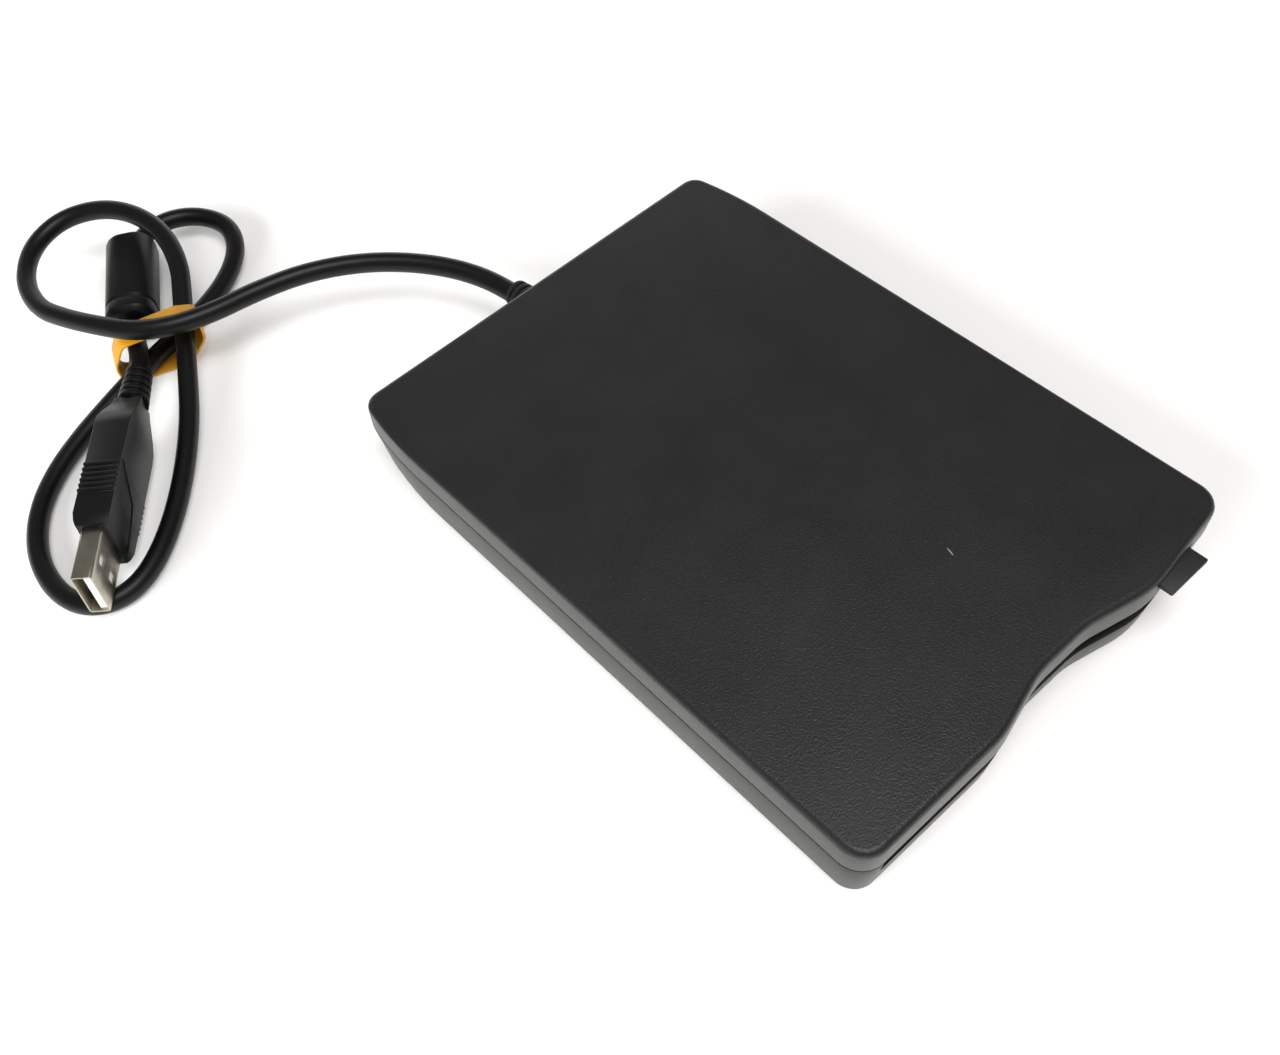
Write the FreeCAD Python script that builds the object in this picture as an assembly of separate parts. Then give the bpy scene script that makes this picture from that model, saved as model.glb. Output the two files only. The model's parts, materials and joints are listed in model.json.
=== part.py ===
import FreeCAD, Part
import math
import os
from FreeCAD import Vector

# External floppy disk drive: a two-shell case, the slim disk mechanism in it, and its USB cord.
# Millimetres. +Z is up, the disk slot faces -Y, and the origin is under the middle of the drive.

# Diskette that the mechanism is built round
disk_width = 90.0
disk_length = 94.0
disk_thickness = 3.3
hub_to_shutter_end = 45.5     # centre of the disk's hub to the end that goes in first
inner_track_radius = 24.7
outer_track_radius = 39.5

# Case walls and edges
wall = 1.6
foot_height = 0.5
foot_radius = 5.0
foot_recess = 0.4
top_edge_radius = 1.5
front_corner_radius = 5.5
rear_corner_radius = 4.0
side_room = 2.3               # between the mechanism and the case wall
lower_side_draft = 1.0        # how far the lower cover draws in at its underside
lower_front_draft = 1.1
lower_rear_draft = 3.7
underside_chamfer = 0.8
seam_gap = 0.4
lip_thickness = 0.8
lip_height = 1.2
lip_clearance = 0.1
waist_length = 13.0           # the sides turn in this far before the rear edge
waist_inset = 2.4
waist_radius = 95.0

# Finger recess and slanted right end of the front edge
recess_left = -16.5
recess_right = 26.0
recess_slope = 14.5
recess_depth = 3.6
recess_round = 24.0
right_setback = 3.2

# Eject button
button_x = 34.3
button_width = 10.8
button_reach = 2.2            # past the foremost line of the front
button_thickness = 1.0
button_gap = 0.7
stem_thickness = 1.7
stem_width = 8.0

# Sheet metal of the mechanism
chassis_sheet = 0.8
holder_sheet = 0.6
slider_sheet = 0.6
shield_sheet = 0.4
run_gap = 0.4                 # between plates that slide past each other
disk_play = 0.3
eject_travel = 4.5
load_drop = 2.6
pin_radius = 0.8
pin_clearance = 0.12
door_thickness = 0.8
mouth_depth = 6.4             # from the foremost line of the front to the door's axis
hinge_radius = 0.6
hinge_clearance = 0.05

# Boards and spindle
board_thickness = 0.8
board_lift = 0.5
coil_thickness = 0.5
coil_count = 9
coil_circle = 13.0
rotor_radius = 19.0
rotor_gap = 1.0
rotor_sheet = 0.5
magnet_height = 0.35
hub_radius = 12.0
hub_height = 0.3
spindle_radius = 1.5
spindle_clearance = 0.04
drive_pin_radius = 1.1
drive_pin_circle = 8.2

# Head carriage and stepper motor
rod_radius = 1.0
rod_spread = 11.0
rod_clearance = 0.05
screw_radius = 1.3
screw_pitch = 3.0
screw_clearance = 0.5
block_length = 6.0
block_half_width = 14.0
block_height = 7.4
tab_thickness = 1.2
motor_radius = 6.0
motor_length = 8.0
motor_wall = 0.6
head_size = 5.0
head_gap = 0.2
arm_thickness = 1.2
arm_half_width = 5.5
arm_lift_angle = 9.6
lug_half_width = 1.9
prong_inner = 2.4

# Rear board and cord
rear_board_depth = 5.4
rear_board_half = 38.0
rear_board_lift = 2.6
ribbon_left = 16.0
ribbon_width = 10.0
cord_diameter = 4.7
cord_bore_clearance = 0.25
gland_x = -1.0
gland_height = 10.6
gland_length = 7.4
gland_radius = 4.1
flange_inset = 2.8              # the gland's inner flange starts this far inside the wall
flange_thickness = 1.6

# Screws
screw_head_radius = 2.2
screw_head_height = 0.8
screw_shank_radius = 1.1
boss_radius = 2.6

# Widths from the disk outward to the case
holder_in = disk_width / 2 + disk_play
holder_out = holder_in + holder_sheet
slider_in = holder_out + run_gap
slider_out = slider_in + slider_sheet
chassis_in = slider_out + run_gap
chassis_out = chassis_in + chassis_sheet
half_width = chassis_out + side_room + wall

# Heights from the table to the top
underside = foot_height
floor_top = underside + wall
board_bottom = floor_top + board_lift
board_top = board_bottom + board_thickness
plate_top = board_top + chassis_sheet
loaded_rail = plate_top + run_gap
rail_bottom = loaded_rail + load_drop
rail_top = rail_bottom + holder_sheet
disk_top = rail_top + disk_thickness
holder_top_under = disk_top + 0.2
holder_top = holder_top_under + holder_sheet
slider_under = holder_top + run_gap
slider_top = slider_under + slider_sheet
spring_room = 3.0
shield_under = slider_top + spring_room
shield_top = shield_under + shield_sheet
top_inside = shield_top + 0.5
top_z = top_inside + wall
seam_z = disk_top + 0.7
slot_bottom = rail_bottom - 0.2
slot_half = slider_in

# Lengths from the front to the rear
disk_setback = 5.4
track_travel = outer_track_radius - inner_track_radius
total_length = (mouth_depth + disk_length + track_travel + block_length + motor_length
                + rear_board_depth + 7.4)
front_y = -(total_length + button_reach) / 2 + button_reach
rear_y = front_y + total_length
button_front = front_y - button_reach
door_y = front_y + mouth_depth
disk_front = front_y + disk_setback
disk_rear = disk_front + disk_length
spindle_y = disk_rear - hub_to_shutter_end
head_y = spindle_y + outer_track_radius
front_tab_y = head_y + head_size / 2 + 3.7
block_y = front_tab_y + tab_thickness + track_travel + 0.3
bracket_y = block_y + block_length + 0.6
motor_y = bracket_y + tab_thickness
motor_end = motor_y + motor_length
rear_board_y = motor_end + 0.6
chassis_front = front_y + 9.9
chassis_rear = motor_end - 1.0
door_drop = seam_z + 0.8 - slot_bottom - 0.2
door_axis_z = seam_z + 0.8
holder_front = door_y + door_drop + 0.7
holder_rear = disk_rear - 2.5
slider_front = holder_front + eject_travel + 0.4
slider_rear = disk_rear + 2.0

# Sensor switches under the disk's front corners
switch_places = [-38.5, 38.5, 31.0]
switch_names = ["write_protect", "high_density", "disk_present"]
switch_half = 2.4
switch_height = 2.2
plunger_radius = 0.8
plunger_press = 1.0
switch_y = chassis_front + 3.0
board_rear = spindle_y + rotor_radius - 3.0

# Rods, screw and the trigger lever's post
arm_window = arm_half_width + 0.9
rod_z = plate_top + 2.0
screw_z = plate_top + 4.4
lever_post = 1.5
lever_x = 36.0
lever_y = disk_rear + 6.5
lever_z = rail_top
lever_sheet = 0.7
lever_length = 20.0

# Eject springs
spring_x = 42.0
spring_z = slider_top + 1.5
spring_radius = 1.1
slider_spring_y = slider_rear - 8.0
chassis_hook_y = slider_front + 12.0

# Rotor
rotor_under = board_top + coil_thickness + 0.25
rotor_top = rotor_under + magnet_height + rotor_sheet
hub_top = rotor_top + hub_height

# Upper arm's pivot and the heads
arm_pivot_y = block_y + 3.0
arm_pivot_z = plate_top - 1.0 + block_height + 1.4
lower_head_top = loaded_rail + holder_sheet + disk_thickness / 2

# Guide pins
pin_rows = [spindle_y - 29.0, spindle_y + 31.0]
pin_rest_z = holder_top - 2.4

# Rear board
rear_board_top = floor_top + rear_board_lift + board_thickness

out_folder = "parts"
os.makedirs(out_folder, exist_ok=True)


def box(x0, x1, y0, y1, z0, z1):
    return Part.makeBox(x1 - x0, y1 - y0, z1 - z0, Vector(x0, y0, z0))


def rod(radius, start, direction, length):
    return Part.makeCylinder(radius, length, Vector(*start), Vector(*direction))


def tube(outer, inner, start, direction, length):
    return rod(outer, start, direction, length).cut(rod(inner, start, direction, length))


def save(name, shape):
    """Write one sub-part to its own STEP file and say how large it is."""
    if not shape.isValid() or shape.Volume <= 0:
        raise ValueError("bad solid in " + name)
    shape.exportStep(os.path.join(out_folder, name + ".step"))
    print(name, len(shape.Solids), round(shape.Volume, 1))


def rounded_outline(corners, z):
    """A closed wire at height z: each corner is x, y and the radius of its round."""
    count = len(corners)
    arcs = []
    for i in range(count):
        here = Vector(corners[i][0], corners[i][1], z)
        before = Vector(corners[i - 1][0], corners[i - 1][1], z)
        after = Vector(corners[(i + 1) % count][0], corners[(i + 1) % count][1], z)
        back = (before - here).normalize()
        ahead = (after - here).normalize()
        half_turn = (math.pi - back.getAngle(ahead)) / 2
        reach = corners[i][2] * math.tan(half_turn)
        inward = (back + ahead).normalize()
        sagitta = corners[i][2] * (1 / math.cos(half_turn) - 1)
        arcs.append((here + back * reach, here + inward * sagitta, here + ahead * reach))
    edges = []
    for i in range(count):
        edges.append(Part.Arc(*arcs[i]).toShape())
        edges.append(Part.LineSegment(arcs[i][2], arcs[(i + 1) % count][0]).toShape())
    return Part.Wire(edges)


def case_outline(side, front, rear, z):
    """Plan shape of the case, drawn in by so much at the sides, the front and the rear."""
    x = half_width - side
    y0 = front_y + front
    y1 = rear_y - rear
    front_round = max(front_corner_radius - side, 1.0)
    rear_round = max(rear_corner_radius - side, 1.0)
    corners = [
        (-x, y0, front_round),
        (recess_left, y0, recess_round),
        (recess_left + recess_slope, y0 + recess_depth, recess_round),
        (recess_right - recess_slope, y0 + recess_depth, recess_round),
        (recess_right, y0 + 0.2, recess_round),
        (x, y0 + right_setback, front_round),
        (x, y1 - waist_length, waist_radius),
        (x - waist_inset, y1, rear_round),
        (-x + waist_inset, y1, rear_round),
        (-x, y1 - waist_length, waist_radius),
    ]
    return rounded_outline(corners, z)


def prism(side, front, rear, z0, z1):
    return Part.Face(case_outline(side, front, rear, z0)).extrude(Vector(0, 0, z1 - z0))


def lower_body(inset, z0, z1):
    """The lower cover's drafted form between two heights, drawn in by inset."""
    def section(z):
        share = (seam_z - z) / (seam_z - underside)
        return case_outline(inset + lower_side_draft * share, inset + lower_front_draft * share,
                            inset + lower_rear_draft * share, z)
    return Part.makeLoft([section(z0), section(z1)], True, True)


rear_screws = [(-43.5, rear_y - 6.4), (43.5, rear_y - 6.4)]
feet = [(-38.0, front_y + 12.0), (38.0, front_y + 12.0),
        (-37.0, rear_y - 17.0), (37.0, rear_y - 17.0)]
chassis_screws = [(-38.0, chassis_front + 14.0), (38.0, chassis_front + 14.0),
                  (-38.0, chassis_rear - 8.0), (38.0, chassis_rear - 8.0)]
board_screws = [(-30.0, rear_board_y + 2.7), (30.0, rear_board_y + 2.7)]
lug_in = slot_half + 0.3
lug_out = lug_in + 1.6


def top_cover():
    bottom = seam_z + seam_gap / 2
    shell = prism(0, 0, 0, bottom, top_z)
    rim = [e for e in shell.Edges if abs(e.BoundBox.ZMin - top_z) < 1e-4]
    shell = shell.makeFillet(top_edge_radius, rim)
    shell = shell.cut(prism(wall, wall, wall, bottom - 1, top_inside))
    button_low = top_z - 3.9
    opening = box(button_x - button_width / 2 - button_gap, button_x + button_width / 2 + button_gap,
                  front_y - 2, front_y + wall + right_setback, button_low,
                  button_low + button_thickness + 1.2)
    shell = shell.cut(opening)
    for side in (-1, 1):
        x0, x1 = sorted((side * lug_in, side * lug_out))
        lug = box(x0, x1, door_y - 1.8, door_y + 1.8, door_axis_z - 1.6, top_inside + 0.2)
        shell = shell.fuse(lug)
        shell = shell.cut(rod(hinge_radius + hinge_clearance, (x0 - 0.5, door_y, door_axis_z),
                              (1, 0, 0), lug_out - lug_in + 1.0))
    for x, y in rear_screws:
        boss = rod(boss_radius, (x, y, seam_z), (0, 0, 1), top_inside + 0.2 - seam_z)
        shell = shell.fuse(boss)
        shell = shell.cut(rod(screw_shank_radius, (x, y, seam_z - 1), (0, 0, 1), 4.5))
    gland_hole = rod(gland_radius - 1.0, (gland_x, rear_y - 8, gland_height), (0, 1, 0), 10)
    return shell.cut(gland_hole).removeSplitter()


def bottom_cover():
    top = seam_z - seam_gap / 2
    share = (seam_z - underside - underside_chamfer) / (seam_z - underside)
    low = case_outline(lower_side_draft + underside_chamfer, lower_front_draft + underside_chamfer,
                       lower_rear_draft + underside_chamfer, underside)
    high = case_outline(lower_side_draft * share, lower_front_draft * share,
                        lower_rear_draft * share, underside + underside_chamfer)
    shell = Part.makeLoft([low, high], True, True)
    shell = shell.fuse(lower_body(0, underside + underside_chamfer, top))
    shell = shell.cut(lower_body(wall, floor_top, seam_z + 3))
    inset = wall + lip_clearance
    lip = prism(inset, inset, inset, seam_z - 2.5, seam_z + lip_height)
    lip = lip.cut(prism(inset + lip_thickness, inset + lip_thickness, inset + lip_thickness,
                        seam_z - 3, seam_z + lip_height + 1))
    shell = shell.fuse(lip)
    shell = shell.cut(box(-slot_half, slot_half, front_y - 3, door_y + 1.5, slot_bottom, top_z))
    shell = shell.cut(box(-lug_out - 0.3, lug_out + 0.3, door_y - 2.1, door_y + 2.1,
                          door_axis_z - 1.8, top_z))
    for x, y in rear_screws:
        boss = rod(boss_radius, (x, y, underside + 0.4), (0, 0, 1), seam_z - underside - 0.4)
        shell = shell.fuse(boss)
        shell = shell.cut(rod(screw_shank_radius + 0.1, (x, y, 0), (0, 0, 1), seam_z + 1))
        shell = shell.cut(rod(screw_head_radius + 0.2, (x, y, 0), (0, 0, 1), underside + 1.0))
    for x, y in chassis_screws:
        height = board_top - floor_top
        shell = shell.fuse(rod(boss_radius, (x, y, floor_top - 0.2), (0, 0, 1), height + 0.2))
        shell = shell.cut(rod(screw_shank_radius, (x, y, underside + 0.6), (0, 0, 1), height + 2))
    for x, y in board_screws:
        height = rear_board_lift
        shell = shell.fuse(rod(boss_radius, (x, y, floor_top - 0.2), (0, 0, 1), height + 0.2))
        shell = shell.cut(rod(screw_shank_radius, (x, y, underside + 0.6), (0, 0, 1), height + 2))
    for x, y in feet:
        shell = shell.cut(rod(foot_radius, (x, y, underside - 1), (0, 0, 1), 1 + foot_recess))
    flange_room = rod(gland_radius + 0.6, (gland_x, rear_y - 8, gland_height), (0, 1, 0),
                      8 - wall - flange_inset + flange_thickness + 0.05)
    shell = shell.cut(flange_room)
    gland_hole = rod(gland_radius - 1.0, (gland_x, rear_y - 8, gland_height), (0, 1, 0), 10)
    return shell.cut(gland_hole).removeSplitter()


def rubber_feet():
    return Part.makeCompound([rod(foot_radius, (x, y, 0), (0, 0, 1), underside + foot_recess)
                              for x, y in feet])


def flat_screw(x, y, z, direction, length):
    """A screw whose head stands on z and whose shank runs from there along direction."""
    head = rod(screw_head_radius, (x, y, z), (0, 0, -direction), screw_head_height)
    drive = rod(0.9, (x, y, z - direction * screw_head_height), (0, 0, direction), screw_head_height * 0.5)
    shank = rod(screw_shank_radius, (x, y, z), (0, 0, direction), length)
    return head.cut(drive).fuse(shank)


def case_screws():
    return Part.makeCompound([flat_screw(x, y, underside + 1.0, 1, seam_z - underside + 1.5)
                              for x, y in rear_screws])


def chassis_screw_set():
    return Part.makeCompound([flat_screw(x, y, plate_top, -1, chassis_sheet + 2.0)
                              for x, y in chassis_screws])


def board_screw_set():
    z = floor_top + rear_board_lift + board_thickness
    return Part.makeCompound([flat_screw(x, y, z, -1, board_thickness + 2.2) for x, y in board_screws])


def chassis():
    plate = box(-chassis_out, chassis_out, chassis_front, chassis_rear, board_top, plate_top)
    plate = plate.cut(rod(rotor_radius + rotor_gap, (0, spindle_y, 0), (0, 0, 1), 10))
    plate = plate.cut(box(-arm_window, arm_window, spindle_y + 10, bracket_y, 0, 10))
    plate = plate.cut(box(-block_half_width - 1, block_half_width + 1, front_tab_y + tab_thickness,
                          bracket_y, 0, 10))
    can_room = motor_radius + 0.2
    plate = plate.cut(box(-can_room, can_room, motor_y, chassis_rear + 1, 0, 10))
    wall_top = slider_top + 0.3
    for side in (-1, 1):
        x0, x1 = sorted((side * chassis_in, side * chassis_out))
        plate = plate.fuse(box(x0, x1, chassis_front + 4, holder_rear + 4, board_top, wall_top))
        for y in pin_rows:
            half = pin_radius + pin_clearance
            low = pin_rest_z - load_drop - half - 0.3
            plate = plate.cut(box(x0 - 0.1, x1 + 0.1, y - half, y + half, low, wall_top + 1))
    half = rod_spread + 2.2
    tab = box(-half, half, front_tab_y, front_tab_y + tab_thickness, board_top, screw_z + 2.2)
    tab = tab.cut(box(-arm_window, arm_window, front_tab_y - 1, front_tab_y + 2, 0, plate_top + 1.1))
    for side in (-1, 1):
        x0, x1 = sorted((side * (prong_inner - 0.2), side * arm_window))
        tab = tab.cut(box(x0, x1, front_tab_y - 1, front_tab_y + 2, screw_z + 0.3, screw_z + 5))
    plate = plate.fuse(tab)
    for x, y in chassis_screws:
        plate = plate.cut(rod(screw_shank_radius + 0.1, (x, y, 0), (0, 0, 1), 10))
    for x in (-rod_spread, rod_spread):
        plate = plate.cut(rod(rod_radius, (x, front_tab_y - 1, rod_z), (0, 1, 0), 4))
    plate = plate.cut(rod(screw_radius + rod_clearance, (0, front_tab_y - 1, screw_z), (0, 1, 0), 4))
    for x in switch_places:
        plate = plate.cut(box(x - switch_half - 0.2, x + switch_half + 0.2, switch_y - switch_half - 0.2,
                              switch_y + switch_half + 0.2, 0, 10))
    post = rod(lever_post, (lever_x, lever_y, board_top), (0, 0, 1), lever_z + lever_sheet + 1.2 - board_top)
    return plate.fuse(post).removeSplitter()


def top_shield():
    plate = box(-chassis_out - shield_sheet, chassis_out + shield_sheet, chassis_front + 14, chassis_rear,
                shield_under, shield_top)
    for side in (-1, 1):
        x0, x1 = sorted((side * chassis_out, side * (chassis_out + shield_sheet)))
        leg = box(x0, x1, chassis_front + 14, holder_rear + 4, slider_under - 0.3, shield_top)
        plate = plate.fuse(leg)
        x0, x1 = sorted((side * chassis_out, side * (chassis_out - 8)))
        foot = box(x0, x1, chassis_rear - shield_sheet, chassis_rear, plate_top, shield_top)
        plate = plate.fuse(foot)
    return plate.removeSplitter()


def disk_holder():
    z1 = holder_top
    body = box(-holder_out, holder_out, holder_front, holder_rear, holder_top_under, z1)
    for side in (-1, 1):
        x0, x1 = sorted((side * holder_in, side * holder_out))
        body = body.fuse(box(x0, x1, holder_front, holder_rear, rail_bottom, z1))
        x0, x1 = sorted((side * (holder_in - 4.0), side * holder_out))
        body = body.fuse(box(x0, x1, holder_front, holder_rear, rail_bottom, rail_top))
        for y in pin_rows:
            start = side * (holder_out - 0.3)
            pin = rod(pin_radius, (start, y, pin_rest_z), (side, 0, 0), chassis_out + 0.4 - abs(start))
            body = body.fuse(pin)
    slot = box(-arm_half_width - 2.5, arm_half_width + 2.5, spindle_y + 18, holder_rear + 1,
               rail_bottom, z1 + 1)
    body = body.cut(slot)
    for side in (-1, 1):
        x0, x1 = sorted((side * 14.0, side * 34.0))
        body = body.cut(box(x0, x1, spindle_y - 22, spindle_y + 6, holder_top_under - 1, z1 + 1))
    return body.removeSplitter()


def slider_plate():
    low = plate_top + run_gap
    body = box(-slider_out, slider_out, slider_front, slider_rear, slider_under, slider_top)
    half = pin_radius + pin_clearance
    lean = math.hypot(eject_travel, load_drop)
    along = Vector(0, eject_travel / lean, -load_drop / lean)
    across = Vector(0, load_drop / lean, eject_travel / lean) * half
    for side in (-1, 1):
        x0, x1 = sorted((side * slider_in, side * slider_out))
        body = body.fuse(box(x0, x1, slider_front, slider_rear, low, slider_top))
        for y in pin_rows:
            start = Vector(x0 - 0.1, y, pin_rest_z)
            end = start + along * lean
            corners = [start + across, end + across, end - across, start - across, start + across]
            ramp = Part.Face(Part.makePolygon(corners)).extrude(Vector(x1 - x0 + 0.2, 0, 0))
            for place in (start, end):
                ramp = ramp.fuse(rod(half, tuple(place), (1, 0, 0), x1 - x0 + 0.2))
            body = body.cut(ramp)
    gap = arm_half_width + 2.0
    body = body.cut(box(-gap, gap, spindle_y + 14, slider_rear + 1, slider_under - 1, slider_top + 1))
    body = body.cut(box(-30, 30, spindle_y - 24, spindle_y + 4, slider_under - 1, slider_top + 1))
    for side in (-1, 1):
        x0, x1 = sorted((side * (spring_x - 1.0), side * (spring_x + 1.0)))
        hook = box(x0, x1, slider_spring_y, slider_spring_y + 0.6, slider_top - 0.1, spring_z + 1.2)
        body = body.fuse(hook)
    return body.removeSplitter()


def eject_springs():
    """Two springs that draw the slider towards the front, each from the shield to the slider."""
    length = slider_spring_y - chassis_hook_y - 0.6
    springs = [tube(spring_radius, spring_radius - 0.35, (side * spring_x, chassis_hook_y + 0.6, spring_z),
                    (0, 1, 0), length) for side in (-1, 1)]
    return Part.makeCompound(springs)


def spring_hooks():
    """Two small hooks that hang from the shield and hold the front ends of the springs."""
    hooks = []
    for side in (-1, 1):
        x = side * spring_x
        hooks.append(box(x - 1.0, x + 1.0, chassis_hook_y, chassis_hook_y + 0.6, spring_z - 1.2, shield_under))
    return Part.makeCompound(hooks)


def eject_button():
    low = top_z - 3.7
    high = low + button_thickness
    tab = box(button_x - button_width / 2, button_x + button_width / 2, button_front, front_y + 8.2, low, high)
    rims = [e for e in tab.Edges if abs(e.BoundBox.YMax - button_front) < 1e-4]
    tab = tab.makeFillet(0.3, rims)
    stem = box(button_x - stem_width / 2, button_x + stem_width / 2, front_y + 8.0, slider_front + 6.0,
               high - stem_thickness, high)
    foot = box(button_x - stem_width / 2, button_x + stem_width / 2, slider_front + 0.6, slider_front + 6.0,
               slider_top, high)
    return tab.fuse(stem).fuse(foot).removeSplitter()


def door_flap():
    half = slot_half - 0.4
    radius = hinge_radius + 0.5
    leaf = box(-half, half, door_y - door_thickness / 2, door_y + door_thickness / 2,
               slot_bottom + 0.2, door_axis_z)
    barrel = rod(radius, (-half, door_y, door_axis_z), (1, 0, 0), 2 * half)
    notch = box(-slot_half + 4.6, -slot_half + 9.4, door_y - 3, door_y + 3,
                door_axis_z - 2.0, door_axis_z + 3)
    leaf = leaf.cut(notch)
    barrel = barrel.cut(notch)
    pin = rod(hinge_radius, (-lug_out + 0.2, door_y, door_axis_z), (1, 0, 0), 2 * lug_out - 0.4)
    rib = box(-half, half, door_y - door_thickness / 2 - 0.4, door_y, slot_bottom + 0.2, slot_bottom + 0.8)
    return leaf.fuse(barrel).fuse(pin).fuse(rib).removeSplitter()


def door_spring():
    return tube(1.5, hinge_radius + 0.3, (-slot_half + 5.0, door_y, door_axis_z), (1, 0, 0), 4.0)


def main_board():
    board = box(-44, 44, chassis_front + 0.3, board_rear, board_bottom, board_top)
    for x, y in chassis_screws:
        board = board.cut(rod(boss_radius + 0.3, (x, y, 0), (0, 0, 1), 10))
    return board.cut(rod(spindle_radius + 0.3, (0, spindle_y, 0), (0, 0, 1), board_bottom + 0.4))


def stator_coils():
    """Flat pole coils in a ring on the board under the rotor."""
    coils = []
    for i in range(coil_count):
        coil = box(-3.2, 3.2, coil_circle - 3.0, coil_circle + 3.0, board_top, board_top + coil_thickness)
        coil = coil.cut(box(-1.2, 1.2, coil_circle - 1.2, coil_circle + 1.2, 0, 10))
        coil.rotate(Vector(0, 0, 0), Vector(0, 0, 1), 360.0 * i / coil_count)
        coil.translate(Vector(0, spindle_y, 0))
        coils.append(coil)
    return Part.makeCompound(coils)


def spindle_bearing():
    return tube(3.4, spindle_radius + spindle_clearance, (0, spindle_y, board_top), (0, 0, 1), 0.9)


def rotor():
    cup = rod(rotor_radius, (0, spindle_y, rotor_under + magnet_height), (0, 0, 1), rotor_sheet)
    cup = cup.fuse(rod(spindle_radius, (0, spindle_y, board_top + 0.1), (0, 0, 1), hub_top + 1.2 - board_top))
    return cup.cut(rod(drive_pin_radius + 0.15, (drive_pin_circle, spindle_y, 0), (0, 0, 1), 10))


def rotor_magnet():
    return tube(rotor_radius, rotor_radius - 6.5, (0, spindle_y, rotor_under), (0, 0, 1), magnet_height)


def hub_plate():
    plate = tube(hub_radius, spindle_radius, (0, spindle_y, rotor_top), (0, 0, 1), hub_height)
    return plate.cut(rod(drive_pin_radius + 0.15, (drive_pin_circle, spindle_y, 0), (0, 0, 1), 10))


def drive_pin():
    stem = rod(drive_pin_radius, (drive_pin_circle, spindle_y, rotor_under + magnet_height - 0.2),
               (0, 0, 1), hub_top + 0.8 - rotor_under)
    return stem.fuse(rod(drive_pin_radius + 0.3, (drive_pin_circle, spindle_y, rotor_under), (0, 0, 1),
                         magnet_height - 0.05))


def control_chips():
    """Controller, motor driver and head amplifier, on the underside clear area beside the rotor."""
    z = board_top
    deep = chassis_sheet - 0.1
    chips = [box(-36, -26, chassis_front + 22, chassis_front + 32, z, z + deep),
             box(27, 35, chassis_front + 24, chassis_front + 31, z, z + deep),
             box(-33, -27, chassis_front + 40, chassis_front + 45, z, z + deep)]
    return Part.makeCompound(chips)


def chip_windows():
    z = board_top
    cuts = [box(-37, -25, chassis_front + 21, chassis_front + 33, z - 1, z + 5),
            box(26, 36, chassis_front + 23, chassis_front + 32, z - 1, z + 5),
            box(-34, -26, chassis_front + 39, chassis_front + 46, z - 1, z + 5)]
    return Part.makeCompound(cuts)


def switch_body(x):
    body = box(x - switch_half, x + switch_half, switch_y - switch_half, switch_y + switch_half,
               board_top, board_top + switch_height)
    return body.cut(rod(plunger_radius + 0.08, (x, switch_y, board_top + 0.4), (0, 0, 1), 5))


def switch_plunger(x):
    return rod(plunger_radius, (x, switch_y, board_top + 0.5 + plunger_press), (0, 0, 1),
               slot_bottom - 0.1 - (board_top + 0.5 + plunger_press))


def lever():
    """Trigger lever: lies across the disk's path and swings out of it as the disk goes in."""
    hub = rod(lever_post + 1.6, (lever_x, lever_y, lever_z), (0, 0, 1), lever_sheet)
    arm = box(0, lever_length, -1.6, 1.6, lever_z, lever_z + lever_sheet)
    tip = rod(1.6, (lever_length, 0, lever_z - 0.8), (0, 0, 1), lever_sheet + 0.8)
    arm = arm.fuse(tip)
    arm.rotate(Vector(0, 0, 0), Vector(0, 0, 1), -134.4)
    arm.translate(Vector(lever_x, lever_y, 0))
    body = hub.fuse(arm)
    return body.cut(rod(lever_post + 0.06, (lever_x, lever_y, 0), (0, 0, 1), 20)).removeSplitter()


def lever_clip():
    z = lever_z + lever_sheet + 0.1
    return tube(lever_post + 1.1, lever_post, (lever_x, lever_y, z), (0, 0, 1), 0.5)


def lever_spring():
    z = plate_top
    return tube(lever_post + 1.3, lever_post + 0.5, (lever_x, lever_y, z), (0, 0, 1), lever_z - 0.1 - z)


def guide_rods():
    length = bracket_y + tab_thickness - front_tab_y
    return Part.makeCompound([rod(rod_radius, (side * rod_spread, front_tab_y, rod_z), (0, 1, 0), length)
                              for side in (-1, 1)])


def head_carriage():
    low = plate_top - 1.0
    block = box(-block_half_width, block_half_width, block_y, block_y + block_length, low, low + block_height)
    block = block.cut(rod(rod_radius + rod_clearance, (rod_spread, block_y - 1, rod_z), (0, 1, 0),
                          block_length + 2))
    fork = box(-block_half_width - 1, -rod_spread + rod_radius, block_y - 1, block_y + block_length + 1,
               rod_z - rod_radius - rod_clearance, rod_z + rod_radius + rod_clearance)
    block = block.cut(fork)
    block = block.cut(rod(screw_radius + screw_clearance, (0, block_y - 1, screw_z), (0, 1, 0),
                          block_length + 2))
    arm = box(-arm_half_width, arm_half_width, head_y - 4, block_y + 0.2, low, plate_top + 0.7)
    flag = box(-block_half_width - 2.6, -block_half_width + 0.2, block_y + 1, block_y + 4,
               low + block_height - 1.4, low + block_height - 0.7)
    block = block.fuse(arm).fuse(flag)
    lug = box(-lug_half_width, lug_half_width, arm_pivot_y - 1.4, arm_pivot_y + 1.4,
              low + block_height - 0.1, arm_pivot_z + 1.0)
    block = block.fuse(lug)
    pivot_hole = rod(0.55, (-6, arm_pivot_y, arm_pivot_z), (1, 0, 0), 12)
    return block.cut(pivot_hole).removeSplitter()


def lower_head():
    return box(-head_size / 2, head_size / 2, head_y - head_size / 2, head_y + head_size / 2,
               plate_top + 0.7, lower_head_top)


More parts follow.
